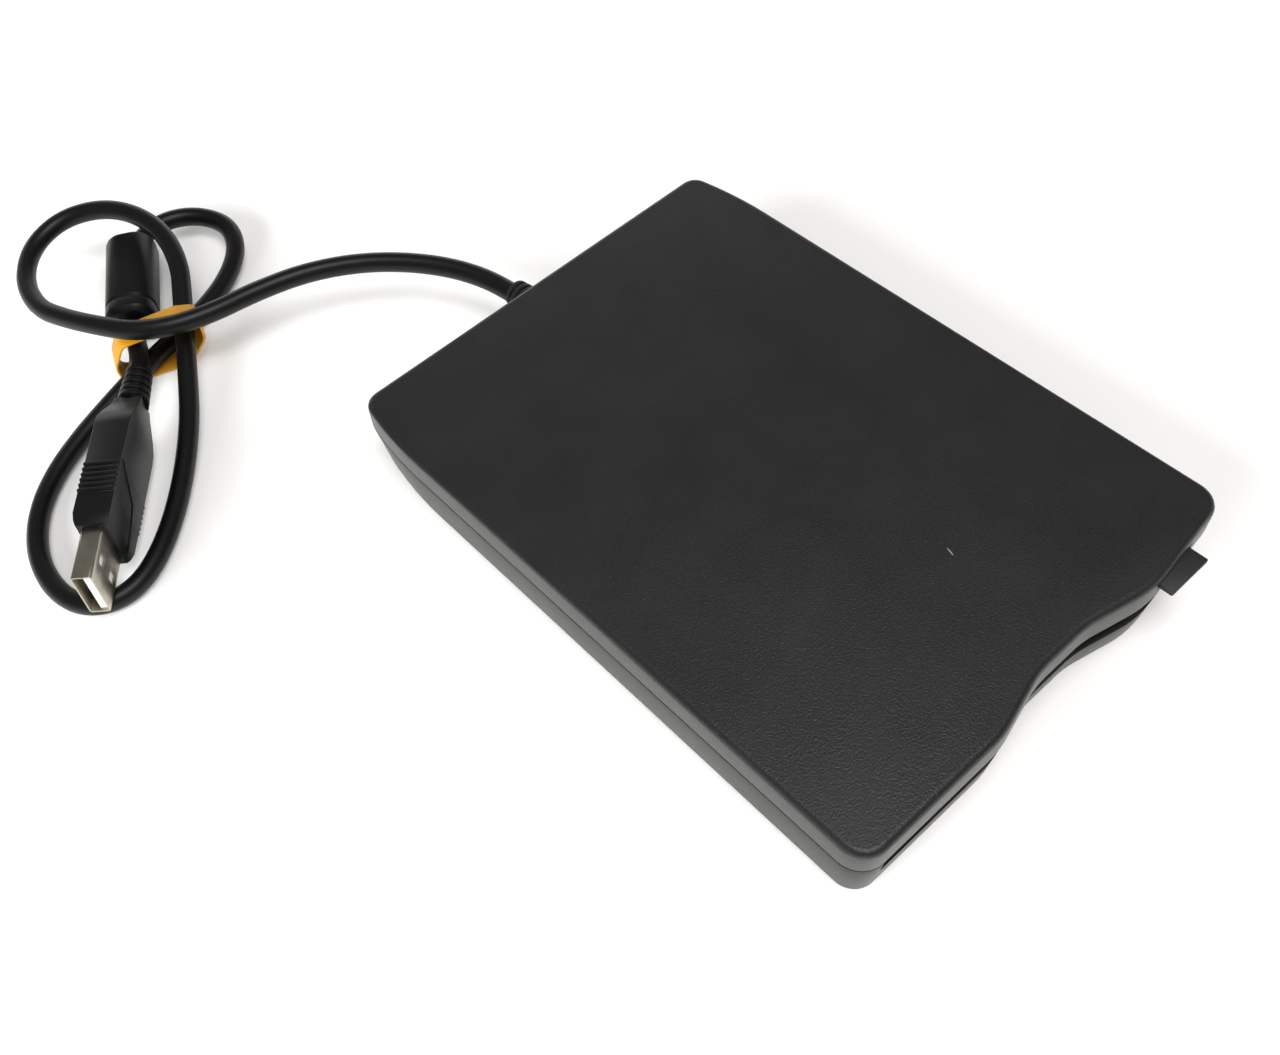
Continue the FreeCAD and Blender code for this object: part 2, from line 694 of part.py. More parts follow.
def upper_parts():
    """Upper arm and its head, drawn loaded and then lifted about the pivot to where they rest."""
    arm_low = lower_head_top + head_gap + 2.2
    front = head_y - 4.0
    bend = block_y - 3.0
    body = box(-arm_half_width, arm_half_width, front, front_tab_y - 1.0, arm_low, arm_low + arm_thickness)
    for side in (-1, 1):
        x0, x1 = sorted((side * prong_inner, side * arm_half_width))
        prong = box(x0, x1, front_tab_y - 2.0, block_y - 0.4, arm_low, arm_low + arm_thickness)
        rise = box(x0, x1, bend, block_y - 0.4, arm_low, arm_pivot_z + 0.9)
        end = box(x0, x1, bend, arm_pivot_y + 0.9, arm_pivot_z - 0.9, arm_pivot_z + 0.9)
        body = body.fuse(prong).fuse(rise).fuse(end)
    pin = rod(0.5, (-arm_half_width + 0.3, arm_pivot_y, arm_pivot_z), (1, 0, 0), 2 * arm_half_width - 0.6)
    body = body.fuse(pin)
    head = box(-head_size / 2, head_size / 2, head_y - head_size / 2, head_y + head_size / 2,
               lower_head_top + head_gap, arm_low)
    lifted = []
    for shape in (body.removeSplitter(), head):
        shape.rotate(Vector(0, arm_pivot_y, arm_pivot_z), Vector(1, 0, 0), -arm_lift_angle)
        lifted.append(shape)
    return lifted


def lead_screw():
    start = front_tab_y + 0.1
    shaft = rod(screw_radius, (0, start, screw_z), (0, 1, 0), motor_end - 1.2 - start)
    count = int((bracket_y - block_y + track_travel) / screw_pitch)
    for i in range(count):
        y = front_tab_y + tab_thickness + 1.2 + i * screw_pitch
        groove = tube(screw_radius + 1, screw_radius - 0.25, (0, y, screw_z), (0, 1, 0), 0.8)
        shaft = shaft.cut(groove)
    return shaft


def stepper_rotor():
    return tube(3.4, screw_radius, (0, motor_y + 1.2, screw_z), (0, 1, 0), motor_length - 2.6)


def stepper_motor():
    can = rod(motor_radius, (0, motor_y, screw_z), (0, 1, 0), motor_length)
    inside = rod(motor_radius - motor_wall - 1.4, (0, motor_y + motor_wall, screw_z), (0, 1, 0),
                 motor_length - 2 * motor_wall)
    shaft_hole = rod(screw_radius + rod_clearance, (0, motor_y - 1, screw_z), (0, 1, 0), 3)
    return can.cut(inside).cut(shaft_hole)


def motor_bracket():
    half = rod_spread + 2.4
    plate = box(-half, half, bracket_y, bracket_y + tab_thickness, plate_top, screw_z + motor_radius)
    plate = plate.cut(rod(screw_radius + 0.6, (0, bracket_y - 1, screw_z), (0, 1, 0), 4))
    for side in (-1, 1):
        plate = plate.cut(rod(rod_radius, (side * rod_spread, bracket_y - 1, rod_z), (0, 1, 0), 4))
    return plate


def track_sensor():
    low = plate_top - 1.0 + block_height - 2.8
    x = -block_half_width - 5.4
    body = box(x, x + 5.0, block_y + 0.4, block_y + 4.6, low, low + 3.6)
    body = body.cut(box(x + 1.6, x + 6, block_y - 1, block_y + 6, low + 1.1, low + 2.5))
    return body.fuse(box(x, x + 1.6, block_y + 0.4, block_y + 4.6, plate_top, low + 0.2)).removeSplitter()


def head_flex():
    """Flat cable from the board to the heads: lies on the floor under the carriage's whole path."""
    z = floor_top + 0.1
    return box(-3.5, 3.5, board_rear - 0.15, block_y + 2.0, z, z + 0.2)


def flex_connector():
    return box(-5, 5, board_rear - 3.0, board_rear - 0.2, board_bottom - 0.45, board_bottom)


def rear_board():
    z = floor_top + rear_board_lift
    board = box(-rear_board_half, rear_board_half, rear_board_y, rear_board_y + rear_board_depth,
                z, z + board_thickness)
    for x, y in board_screws:
        board = board.cut(rod(screw_shank_radius + 0.1, (x, y, 0), (0, 0, 1), 20))
    for x, y in rear_screws:
        board = board.cut(rod(boss_radius + 0.3, (x, y, 0), (0, 0, 1), 20))
    return board


def rear_chips():
    """Bridge controller and memory on the rear board."""
    z = rear_board_top
    y = rear_board_y + 0.6
    return Part.makeCompound([box(10, 14.5, y, y + 4.3, z, z + 1.1), box(17, 21, y, y + 3.6, z, z + 1.0)])


def crystal_can():
    z = rear_board_top
    return rod(1.2, (-18, rear_board_y + 2.4, z + 1.2), (1, 0, 0), 6.5)


def capacitor_set():
    z = rear_board_top
    return Part.makeCompound([rod(1.5, (x, rear_board_y + 2.4, z), (0, 0, 1), 4.6) for x in (24.5, -23.5)])


def cord_header():
    z = rear_board_top
    y = rear_board_y + 0.3
    return box(gland_x - 4.5, gland_x + 4.5, y, y + 2.6, z, z + 3.0)


def cord_wires():
    """Four cores from the end of the cord's jacket down into the header."""
    end_y = cord_place(0).y - 0.2
    wires = []
    z = rear_board_top + 3.0
    for i in range(4):
        x = gland_x + (i - 1.5) * 1.1
        y = rear_board_y + 1.6
        down = rod(0.4, (x, y, z), (0, 0, 1), gland_height - z)
        across = rod(0.4, (x, y, gland_height), (0, 1, 0), end_y - y)
        wires.append(down.fuse(across).fuse(Part.makeSphere(0.4, Vector(x, y, gland_height))))
    return Part.makeCompound(wires)


def ribbon():
    """Flat cable under the mechanism, from the main board to the rear board."""
    y0 = board_rear - 6.0
    y1 = rear_board_y + 1.0
    z = floor_top + 0.1
    run = box(ribbon_left, ribbon_left + ribbon_width, y0, y1 + 0.2, z, z + 0.2)
    rise = box(ribbon_left, ribbon_left + ribbon_width, y1, y1 + 0.2, z, floor_top + rear_board_lift)
    return run.fuse(rise).removeSplitter()


# The cord as it lies, from the drive to the plug, found on the photograph
cord_rear = 72.1              # the case's rear edge that these places were read against
cord_points = [
    (-1.0, 67.0, 10.6), (-1.4, 80.5, 10.8), (-5.0, 92.5, 11.6), (-12.0, 103.0, 12.4),
    (-21.5, 112.0, 13.1), (-33.0, 118.5, 13.6), (-45.5, 121.6, 14.1), (-57.5, 122.6, 14.8),
    (-67.2, 125.4, 15.4), (-74.2, 130.6, 15.6), (-79.0, 138.8, 15.2), (-82.8, 148.0, 13.8),
    (-85.8, 158.0, 12.4), (-83.8, 169.6, 12.0), (-76.6, 178.6, 12.7), (-66.6, 180.8, 14.0),
    (-57.8, 175.8, 15.2), (-52.4, 167.0, 15.7), (-50.4, 156.0, 14.8), (-53.0, 145.0, 12.8),
    (-58.5, 136.2, 10.6), (-64.0, 127.6, 8.4), (-69.8, 118.2, 6.3), (-76.4, 107.8, 4.6),
    (-85.0, 97.0, 3.3), (-94.2, 87.4, 2.7), (-103.2, 80.4, 2.5), (-110.4, 77.6, 2.5),
    (-116.8, 78.6, 2.5), (-121.4, 83.6, 2.5), (-122.9, 91.4, 2.5), (-121.2, 101.2, 2.5),
    (-115.8, 110.8, 2.5), (-107.6, 118.2, 2.5), (-97.8, 123.4, 2.7), (-87.4, 127.2, 3.1), (-76.6, 130.8, 3.5),
    (-65.6, 134.0, 3.5), (-54.5, 137.4, 3.1), (-44.0, 142.4, 3.1), (-36.0, 149.4, 3.7),
    (-33.0, 157.6, 4.4), (-36.0, 165.0, 5.2), (-42.4, 169.6, 5.9), (-50.4, 169.8, 6.3),
    (-57.6, 164.4, 6.3), (-63.6, 154.5, 6.2), (-69.2, 144.6, 6.5), (-73.0, 135.8, 8.3),
    (-76.4, 126.6, 9.3), (-82.2, 119.4, 9.6)]
cord_shift = Vector(0, rear_y - cord_rear, 0)
plug_start = Vector(-78.3, 124.2, 9.4) + cord_shift
plug_tip = Vector(-118.4, 75.5, 11.5) + cord_shift
ferrite_ends = [45, 47]        # it lies between these two points of the cord
ferrite_length = 29.0
ferrite_width = 12.4
ferrite_height = 12.0
ferrite_core_radius = 4.7
ferrite_core_length = 22.0
shell_thickness = 0.35
plug_width = 12.0
plug_depth = 4.5
shell_exposed = 12.8
overmould_length = 40.0
overmould_height = 15.6
overmould_width = 8.0
band_width = 7.0
band_thickness = 0.6
band_offset = -2.0
band_centre = Vector(-69.5, 130.5, 0) + cord_shift
band_heading = 159.0


def cord_place(i):
    return Vector(*cord_points[i]) + cord_shift


def cord_path():
    """Straight runs joined by tangent arcs, and the radius of each arc."""
    points = [cord_place(i) for i in range(len(cord_points))]
    arcs = []
    radii = []
    for i in range(1, len(points) - 1):
        back = points[i - 1] - points[i]
        ahead = points[i + 1] - points[i]
        reach = 0.45 * min(back.Length, ahead.Length)
        half_turn = (math.pi - back.getAngle(ahead)) / 2
        radius = reach / math.tan(half_turn)
        radii.append(radius)
        back.normalize()
        ahead.normalize()
        inward = (back + ahead).normalize()
        sagitta = radius * (1 / math.cos(half_turn) - 1)
        arcs.append((points[i] + back * reach, points[i] + inward * sagitta, points[i] + ahead * reach))
    edges = [Part.LineSegment(points[0], arcs[0][0]).toShape()]
    for i, arc in enumerate(arcs):
        edges.append(Part.Arc(*arc).toShape())
        after = arcs[i + 1][0] if i + 1 < len(arcs) else points[-1]
        edges.append(Part.LineSegment(arc[2], after).toShape())
    return Part.Wire(edges), radii


def cord_tube(radius):
    wire, radii = cord_path()
    start = cord_place(0)
    heading = cord_place(1) - start
    circle = Part.Wire(Part.Circle(start, heading, radius).toShape())
    shell = wire.makePipeShell([circle], True, False)
    return shell, wire, radii


def least_gap(wire, diameter):
    """Least clear gap between stretches of the cord that lie more than three diameters apart along it."""
    points = wire.discretize(Distance=1.2)
    skip = int(3.5 * diameter / 1.2)
    least = 1e9
    place = None
    for i in range(len(points)):
        for j in range(i + skip, len(points)):
            gap = points[i].distanceToPoint(points[j])
            if gap < least:
                least = gap
                place = points[i]
    return least - diameter, place


def usb_cord():
    solid, wire, radii = cord_tube(cord_diameter / 2)
    section = math.pi * cord_diameter ** 2 / 4
    print("cord length", round(wire.Length, 1), "volume against section x length",
          round(solid.Volume / (section * wire.Length), 4))
    print("cord radii", [round(r, 1) for r in radii])
    gap, place = least_gap(wire, cord_diameter)
    print("least gap of the cord to itself", round(gap, 2), place)
    return solid


def gland():
    """Strain relief: a flange inside the rear wall, a neck through it and a ribbed boot outside."""
    y = rear_y
    axis = (0, 1, 0)
    neck_radius = gland_radius - 1.0
    body = rod(neck_radius, (gland_x, y - wall - 1.6, gland_height), axis, wall + 2.0)
    body = body.fuse(rod(gland_radius + 0.5, (gland_x, y - wall - flange_inset, gland_height), axis,
                         flange_thickness))
    boot = Part.makeCone(gland_radius, gland_radius - 1.0, gland_length, Vector(gland_x, y, gland_height),
                         Vector(0, 1, 0))
    body = body.fuse(boot)
    for i in range(3):
        groove_y = y + 1.6 + 1.9 * i
        body = body.cut(tube(gland_radius + 1, gland_radius - 0.8 - 0.25 * i, (gland_x, groove_y, gland_height),
                             axis, 0.6))
    bore, wire, radii = cord_tube(cord_diameter / 2 + 0.02)
    return body.cut(bore).removeSplitter()


def frame_between(start, end):
    """Placement whose X axis runs from start to end, with Z as near to up as it can be."""
    along = (end - start).normalize()
    side = Vector(0, 0, 1).cross(along).normalize()
    up = along.cross(side)
    matrix = FreeCAD.Matrix(along.x, side.x, up.x, start.x, along.y, side.y, up.y, start.y,
                            along.z, side.z, up.z, start.z, 0, 0, 0, 1)
    return matrix


def ferrite_frame():
    start, end = [cord_place(i) for i in ferrite_ends]
    middle = (start + end) / 2
    half = (end - start).normalize() * (ferrite_length / 2)
    return frame_between(middle - half, middle + half)


def rounded_block(length, width, height, radius):
    block = Part.makeBox(length, width, height, Vector(0, -width / 2, -height / 2))
    long_edges = [e for e in block.Edges if e.BoundBox.XLength > length - 0.01]
    return block.makeFillet(radius, long_edges)


def ferrite_pieces():
    matrix = ferrite_frame()
    bore, wire, radii = cord_tube(cord_diameter / 2 + cord_bore_clearance)
    start_gap = (ferrite_length - ferrite_core_length) / 2
    core_space = rod(ferrite_core_radius, (start_gap, 0, 0), (1, 0, 0), ferrite_core_length)
    cover = rounded_block(ferrite_length, ferrite_width, ferrite_height, 4.2)
    ends = [e for e in cover.Edges if e.BoundBox.XLength < 0.01]
    cover = cover.makeChamfer(1.2, ends)
    groove = rounded_block(0.8, ferrite_width + 2, ferrite_height + 2, 4.2)
    groove = groove.cut(rounded_block(0.8, ferrite_width - 0.6, ferrite_height - 0.6, 4.0))
    groove.translate(Vector(ferrite_length - 5.0, 0, 0))
    cover = cover.cut(groove).cut(core_space)
    core = core_space.copy()
    cover = cover.transformed(matrix)
    core = core.transformed(matrix)
    return cover.cut(bore), core.cut(bore)


def rounded_section(x, width, height, radius):
    """Closed wire in the plane X = x: a rectangle, width along Y and height along Z, corners rounded."""
    wire = rounded_outline([(-width / 2, -height / 2, radius), (width / 2, -height / 2, radius),
                            (width / 2, height / 2, radius), (-width / 2, height / 2, radius)], 0)
    turn = FreeCAD.Matrix(0, 0, 1, x, 1, 0, 0, 0, 0, 1, 0, 0, 0, 0, 0, 1)
    return wire.transformed(turn)


def plug_frame():
    return frame_between(plug_start, plug_tip)


def plug_length():
    return (plug_tip - plug_start).Length


def plug_overmould():
    end = plug_length() - shell_exposed
    start = end - overmould_length
    stations = [(start, 6.0, 6.4, 1.4), (start + 2.0, 6.6, 7.0, 1.4),
                (start + 12.0, overmould_width, overmould_height, 1.4),
                (end - 3.0, overmould_width, overmould_height, 1.4),
                (end, overmould_width - 1.6, overmould_height - 1.8, 1.2)]
    sections = [rounded_section(*station) for station in stations]
    body = Part.makeLoft(sections, True, True)
    for i in range(6):
        x = start + 24.5 + 1.7 * i
        for side in (-1, 1):
            z = side * overmould_height / 2
            z0, z1 = sorted((z - side * 0.6, z + side * 0.4))
            rib = box(x, x + 0.8, -overmould_width / 2 + 1.2, overmould_width / 2 - 1.2, z0, z1)
            body = body.fuse(rib)
    body = body.cut(shell_blank(0))
    body = body.cut(rod(cord_diameter / 2, (start - 1, 0, 0), (1, 0, 0), 4.0))
    return body.removeSplitter().transformed(plug_frame())


def shell_blank(inset):
    end = plug_length()
    start = end - shell_exposed - 6.0
    return box(start, end, -plug_depth / 2 + inset, plug_depth / 2 - inset,
               -plug_width / 2 + inset, plug_width / 2 - inset)


def plug_shell():
    end = plug_length()
    start = end - shell_exposed - 6.0
    shell = shell_blank(0)
    inside = box(start + 5.4, end + 1, -plug_depth / 2 + shell_thickness, plug_depth / 2 - shell_thickness,
                 -plug_width / 2 + shell_thickness, plug_width / 2 - shell_thickness)
    shell = shell.cut(inside)
    for z in (-2.9, 2.9):
        hole = box(end - 7.6, end - 5.2, -plug_depth, plug_depth, z - 1.15, z + 1.15)
        shell = shell.cut(hole)
    return shell.transformed(plug_frame())


def plug_tongue():
    end = plug_length()
    start = end - shell_exposed - 0.6
    outer = plug_depth / 2 - shell_thickness
    tongue = box(start, end - 0.8, outer - 1.9, outer, -plug_width / 2 + shell_thickness,
                 plug_width / 2 - shell_thickness)
    return tongue.transformed(plug_frame())


def plug_contacts():
    end = plug_length()
    start = end - shell_exposed - 0.6
    face = plug_depth / 2 - shell_thickness - 1.9
    strips = []
    for i in range(4):
        z = (i - 1.5) * 2.4
        strips.append(box(start, end - 2.2, face - 0.15, face, z - 0.5, z + 0.5).transformed(plug_frame()))
    return Part.makeCompound(strips)


def plug_boot():
    end = plug_length() - shell_exposed - overmould_length
    body = Part.makeCone(2.9, 3.2, end, Vector(0, 0, 0), Vector(1, 0, 0))
    for i in range(4):
        x = 0.9 + 2.4 * i
        body = body.cut(tube(6, 2.62, (x, 0, 0), (1, 0, 0), 0.9))
    body = body.transformed(plug_frame())
    bore, wire, radii = cord_tube(cord_diameter / 2 + 0.02)
    return body.cut(bore)


def cord_band():
    """Wide flat band round the bundle, closed as a ring that stands across it."""
    inner = [(-10.2, 7.0, 2.0), (-5.0, 0.95, 2.0), (10.6, 0.95, 1.4), (11.2, 6.0, 3.0),
             (8.0, 11.65, 2.0), (-6.0, 12.9, 2.0), (-10.3, 11.7, 1.2)]
    opening = rounded_outline(inner, 0)
    outer = opening.makeOffset2D(band_thickness)
    ring = Part.Face(outer).extrude(Vector(0, 0, band_width))
    ring = ring.cut(Part.Face(opening).extrude(Vector(0, 0, band_width)))
    angle = math.radians(band_heading)
    across = Vector(math.cos(angle), math.sin(angle), 0)
    width = Vector(0, 0, 1).cross(across) * -1
    origin = band_centre + width * band_offset
    matrix = FreeCAD.Matrix(across.x, 0, width.x, origin.x, across.y, 0, width.y, origin.y,
                            0, 1, 0, 0, 0, 0, 0, 1)
    return ring.transformed(matrix)


def build():
    save("top_cover", top_cover())
    save("bottom_cover", bottom_cover())
    save("rubber_feet", rubber_feet())
    save("case_screws", case_screws())
    save("chassis", chassis().cut(chip_windows()))
    save("chassis_screws", chassis_screw_set())
    save("top_shield", top_shield().fuse(spring_hooks()).removeSplitter())
    save("disk_holder", disk_holder())
    save("slider_plate", slider_plate())
    save("eject_springs", eject_springs())
    save("eject_button", eject_button())
    save("door_flap", door_flap())
    save("door_spring", door_spring())
    save("main_board", main_board())
    save("stator_coils", stator_coils())
    save("spindle_bearing", spindle_bearing())
    save("spindle_rotor", rotor())
    save("rotor_magnet", rotor_magnet())
    save("hub_plate", hub_plate())
    save("drive_pin", drive_pin())
    save("control_chips", control_chips())
    for name, x in zip(switch_names, switch_places):
        save(name + "_switch", switch_body(x))
        save(name + "_plunger", switch_plunger(x))
    save("trigger_lever", lever())
    save("lever_clip", lever_clip())
    save("lever_spring", lever_spring())
    save("guide_rods", guide_rods())
    save("head_carriage", head_carriage())
    save("lower_head", lower_head())
    upper_arm, upper_head = upper_parts()
    save("upper_head_arm", upper_arm)
    save("upper_head", upper_head)
    save("lead_screw", lead_screw())
    save("stepper_rotor", stepper_rotor())
    save("stepper_motor", stepper_motor())
    save("motor_bracket", motor_bracket())
    save("track_sensor", track_sensor())
    save("head_flex", head_flex())
    save("flex_connector", flex_connector())
    save("rear_board", rear_board())
    save("rear_board_screws", board_screw_set())
    save("rear_chips", rear_chips())
    save("crystal", crystal_can())
    save("capacitors", capacitor_set())
    save("cord_header", cord_header())
    save("cord_wires", cord_wires())
    save("ribbon_cable", ribbon())
    save("cord_gland", gland())
    save("usb_cord", usb_cord())
    cover, core = ferrite_pieces()
    save("ferrite_cover", cover)
    save("ferrite_core", core)
    save("plug_boot", plug_boot())
    save("plug_overmould", plug_overmould())
    save("plug_shell", plug_shell())
    save("plug_tongue", plug_tongue())
    save("plug_contacts", plug_contacts())
    save("cord_band", cord_band())
    print("case", 2 * half_width, total_length, top_z, "front", front_y, "rear", rear_y)


build()
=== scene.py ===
# %% [markdown]
# # A slim external floppy disk drive
# The real thing is a flat dark grey box with a disk slot along its front edge, an eject button at the
# right, and a short cord that somebody folded into two loops and tied with an ochre band. The packed
# model is loaded first. It gives every piece its place, and what is modelled here follows the same points.

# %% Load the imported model
import json
import math

import bpy
from mathutils import Matrix, Vector


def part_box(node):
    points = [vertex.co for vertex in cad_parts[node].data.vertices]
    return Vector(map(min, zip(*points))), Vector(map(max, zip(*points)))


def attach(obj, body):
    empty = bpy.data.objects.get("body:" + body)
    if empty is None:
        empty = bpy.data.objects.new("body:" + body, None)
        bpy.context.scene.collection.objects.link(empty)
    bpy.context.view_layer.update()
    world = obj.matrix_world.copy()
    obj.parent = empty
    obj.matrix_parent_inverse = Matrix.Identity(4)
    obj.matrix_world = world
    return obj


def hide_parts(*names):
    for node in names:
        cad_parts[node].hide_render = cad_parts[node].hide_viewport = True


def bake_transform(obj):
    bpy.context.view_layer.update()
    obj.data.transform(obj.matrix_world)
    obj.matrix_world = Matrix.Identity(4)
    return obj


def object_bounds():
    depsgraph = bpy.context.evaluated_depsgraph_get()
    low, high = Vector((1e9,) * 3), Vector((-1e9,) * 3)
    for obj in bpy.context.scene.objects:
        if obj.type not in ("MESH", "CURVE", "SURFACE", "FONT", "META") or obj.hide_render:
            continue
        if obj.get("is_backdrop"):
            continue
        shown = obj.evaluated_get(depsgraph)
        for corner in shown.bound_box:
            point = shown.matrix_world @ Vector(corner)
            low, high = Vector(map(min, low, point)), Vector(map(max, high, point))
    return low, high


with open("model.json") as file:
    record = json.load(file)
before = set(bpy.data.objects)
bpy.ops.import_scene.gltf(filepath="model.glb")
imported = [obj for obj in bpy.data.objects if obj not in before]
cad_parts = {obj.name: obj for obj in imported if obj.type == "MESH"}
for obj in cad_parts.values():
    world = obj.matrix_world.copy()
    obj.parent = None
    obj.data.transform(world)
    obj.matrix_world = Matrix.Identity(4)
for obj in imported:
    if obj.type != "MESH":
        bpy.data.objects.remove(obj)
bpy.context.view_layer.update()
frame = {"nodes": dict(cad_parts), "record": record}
record = frame["record"]
nodes = frame["nodes"]
MM = 0.001

# %% [markdown]
# ## Camera
# The viewpoint was worked out from the drive's own corners: a standing person looks down on its front
# left corner. The picture is a crop, so the lens is shifted a little to the side and up.

# %% The camera
IMAGE_WIDTH, IMAGE_HEIGHT = 1280, 1055
FOCAL_PIXELS = 1332.91
CENTRE_PIXEL = (530.04, 546.44)
SENSOR = 36.0
camera_place = Vector((-131.17, -109.71, 229.01)) * MM
world_to_camera = Vector((2.35507233, -0.916270552, 0.164035315))


def add_camera():
    turn = Matrix.Rotation(world_to_camera.length, 3, world_to_camera.normalized())
    right, down, ahead = turn[0], turn[1], turn[2]
    basis = Matrix((right, -down, -ahead)).transposed()
    data = bpy.data.cameras.new("camera")
    data.sensor_width = SENSOR
    data.lens = FOCAL_PIXELS * SENSOR / IMAGE_WIDTH
    data.shift_x = (IMAGE_WIDTH / 2 - CENTRE_PIXEL[0]) / IMAGE_WIDTH
    data.shift_y = (CENTRE_PIXEL[1] - IMAGE_HEIGHT / 2) / IMAGE_WIDTH
    data.clip_start, data.clip_end = 0.005, 20
    camera = bpy.data.objects.new("camera", data)
    bpy.context.scene.collection.objects.link(camera)
    camera.matrix_world = Matrix.Translation(camera_place) @ basis.to_4x4()
    bpy.context.scene.camera = camera
    return camera


camera = add_camera()
print("lens", round(camera.data.lens, 2),
      "shift", round(camera.data.shift_x, 4), round(camera.data.shift_y, 4))

# %% [markdown]
# ## The cord's line
# A USB cord is a soft rubber jacket of 4.7 mm. It leaves the drive at the rear, runs over the folded
# part, makes two loops and comes back to its plug. One smooth spline with a control point every
# centimetre follows all of it. Its thickness is the curve's own round bevel, so it stays even.

# %% The cord
CORD_DIAMETER = 4.7
cord_points = [
    (-1.0, 67.0, 10.6), (-1.4, 80.5, 10.8), (-5.0, 92.5, 11.6), (-12.0, 103.0, 12.4),
    (-21.5, 112.0, 13.1), (-33.0, 118.5, 13.6), (-45.5, 121.6, 14.1), (-57.5, 122.6, 14.8),
    (-67.2, 125.4, 15.4), (-74.2, 130.6, 15.6), (-79.0, 138.8, 15.2), (-82.8, 148.0, 13.8),
    (-85.8, 158.0, 12.4), (-83.8, 169.6, 12.0), (-76.6, 178.6, 12.7), (-66.6, 180.8, 14.0),
    (-57.8, 175.8, 15.2), (-52.4, 167.0, 15.7), (-50.4, 156.0, 14.8), (-53.0, 145.0, 12.8),
    (-58.5, 136.2, 10.6), (-64.0, 127.6, 8.4), (-69.8, 118.2, 6.3), (-76.4, 107.8, 4.6),
    (-85.0, 97.0, 3.3), (-94.2, 87.4, 2.7), (-103.2, 80.4, 2.5), (-110.4, 77.6, 2.5),
    (-116.8, 78.6, 2.5), (-121.4, 83.6, 2.5), (-122.9, 91.4, 2.5), (-121.2, 101.2, 2.5),
    (-115.8, 110.8, 2.5), (-107.6, 118.2, 2.5), (-97.8, 123.4, 2.7), (-87.4, 127.2, 3.1),
    (-76.6, 130.8, 3.5), (-65.6, 134.0, 3.5), (-54.5, 137.4, 3.1), (-44.0, 142.4, 3.1),
    (-36.0, 149.4, 3.7), (-33.0, 157.6, 4.4), (-36.0, 165.0, 5.2), (-42.4, 169.6, 5.9),
    (-50.4, 169.8, 6.3), (-57.6, 164.4, 6.3), (-63.6, 154.5, 6.2), (-69.2, 144.6, 6.5),
    (-73.0, 135.8, 8.3), (-76.4, 126.6, 9.3), (-82.2, 119.4, 9.6)]


def smooth_line(name, points, thickness, steps=8):
    """A curve whose one spline follows the points smoothly, with a round section."""
    data = bpy.data.curves.new(name, "CURVE")
    data.dimensions = "3D"
    data.resolution_u = data.render_resolution_u = steps
    data.bevel_depth = thickness / 2 * MM
    data.bevel_resolution = 6
    data.use_fill_caps = True
    spline = data.splines.new("NURBS")
    spline.points.add(len(points) - 1)
    for point, place in zip(spline.points, points):
        point.co = (*[c * MM for c in place], 1)
    spline.order_u = 3
    spline.use_endpoint_u = True
    curve = bpy.data.objects.new(name, data)
    bpy.context.scene.collection.objects.link(curve)
    return curve


cord = smooth_line("cord_jacket", cord_points, CORD_DIAMETER)
print("cord points", len(cord_points))

# %% [markdown]
# ## Shader maths in plain words
# A material is a chain of small sums. Writing them as Python expressions keeps them readable, so one
# class wraps a socket and lets it be added, taken away and multiplied. Every other node comes from one
# method, which sets the node's own choices first and then fills or links its sockets.


# %% Sockets and nodes
NOISE_ROUGHNESS = 0.6


class Flow:
    """One output socket that can be used in sums."""

    def __init__(self, paint, socket):
        self.paint = paint
        self.socket = socket

    def _sum(self, operation, first, second):
        return self.paint.node("ShaderNodeMath", {"operation": operation}, {0: first, 1: second})

    def __add__(self, other):
        return self._sum("ADD", self, other)

    def __sub__(self, other):
        return self._sum("SUBTRACT", self, other)

    def __rsub__(self, other):
        return self._sum("SUBTRACT", other, self)

    def __mul__(self, other):
        return self._sum("MULTIPLY", self, other)

    def above(self, other):
        return self._sum("GREATER_THAN", self, other)


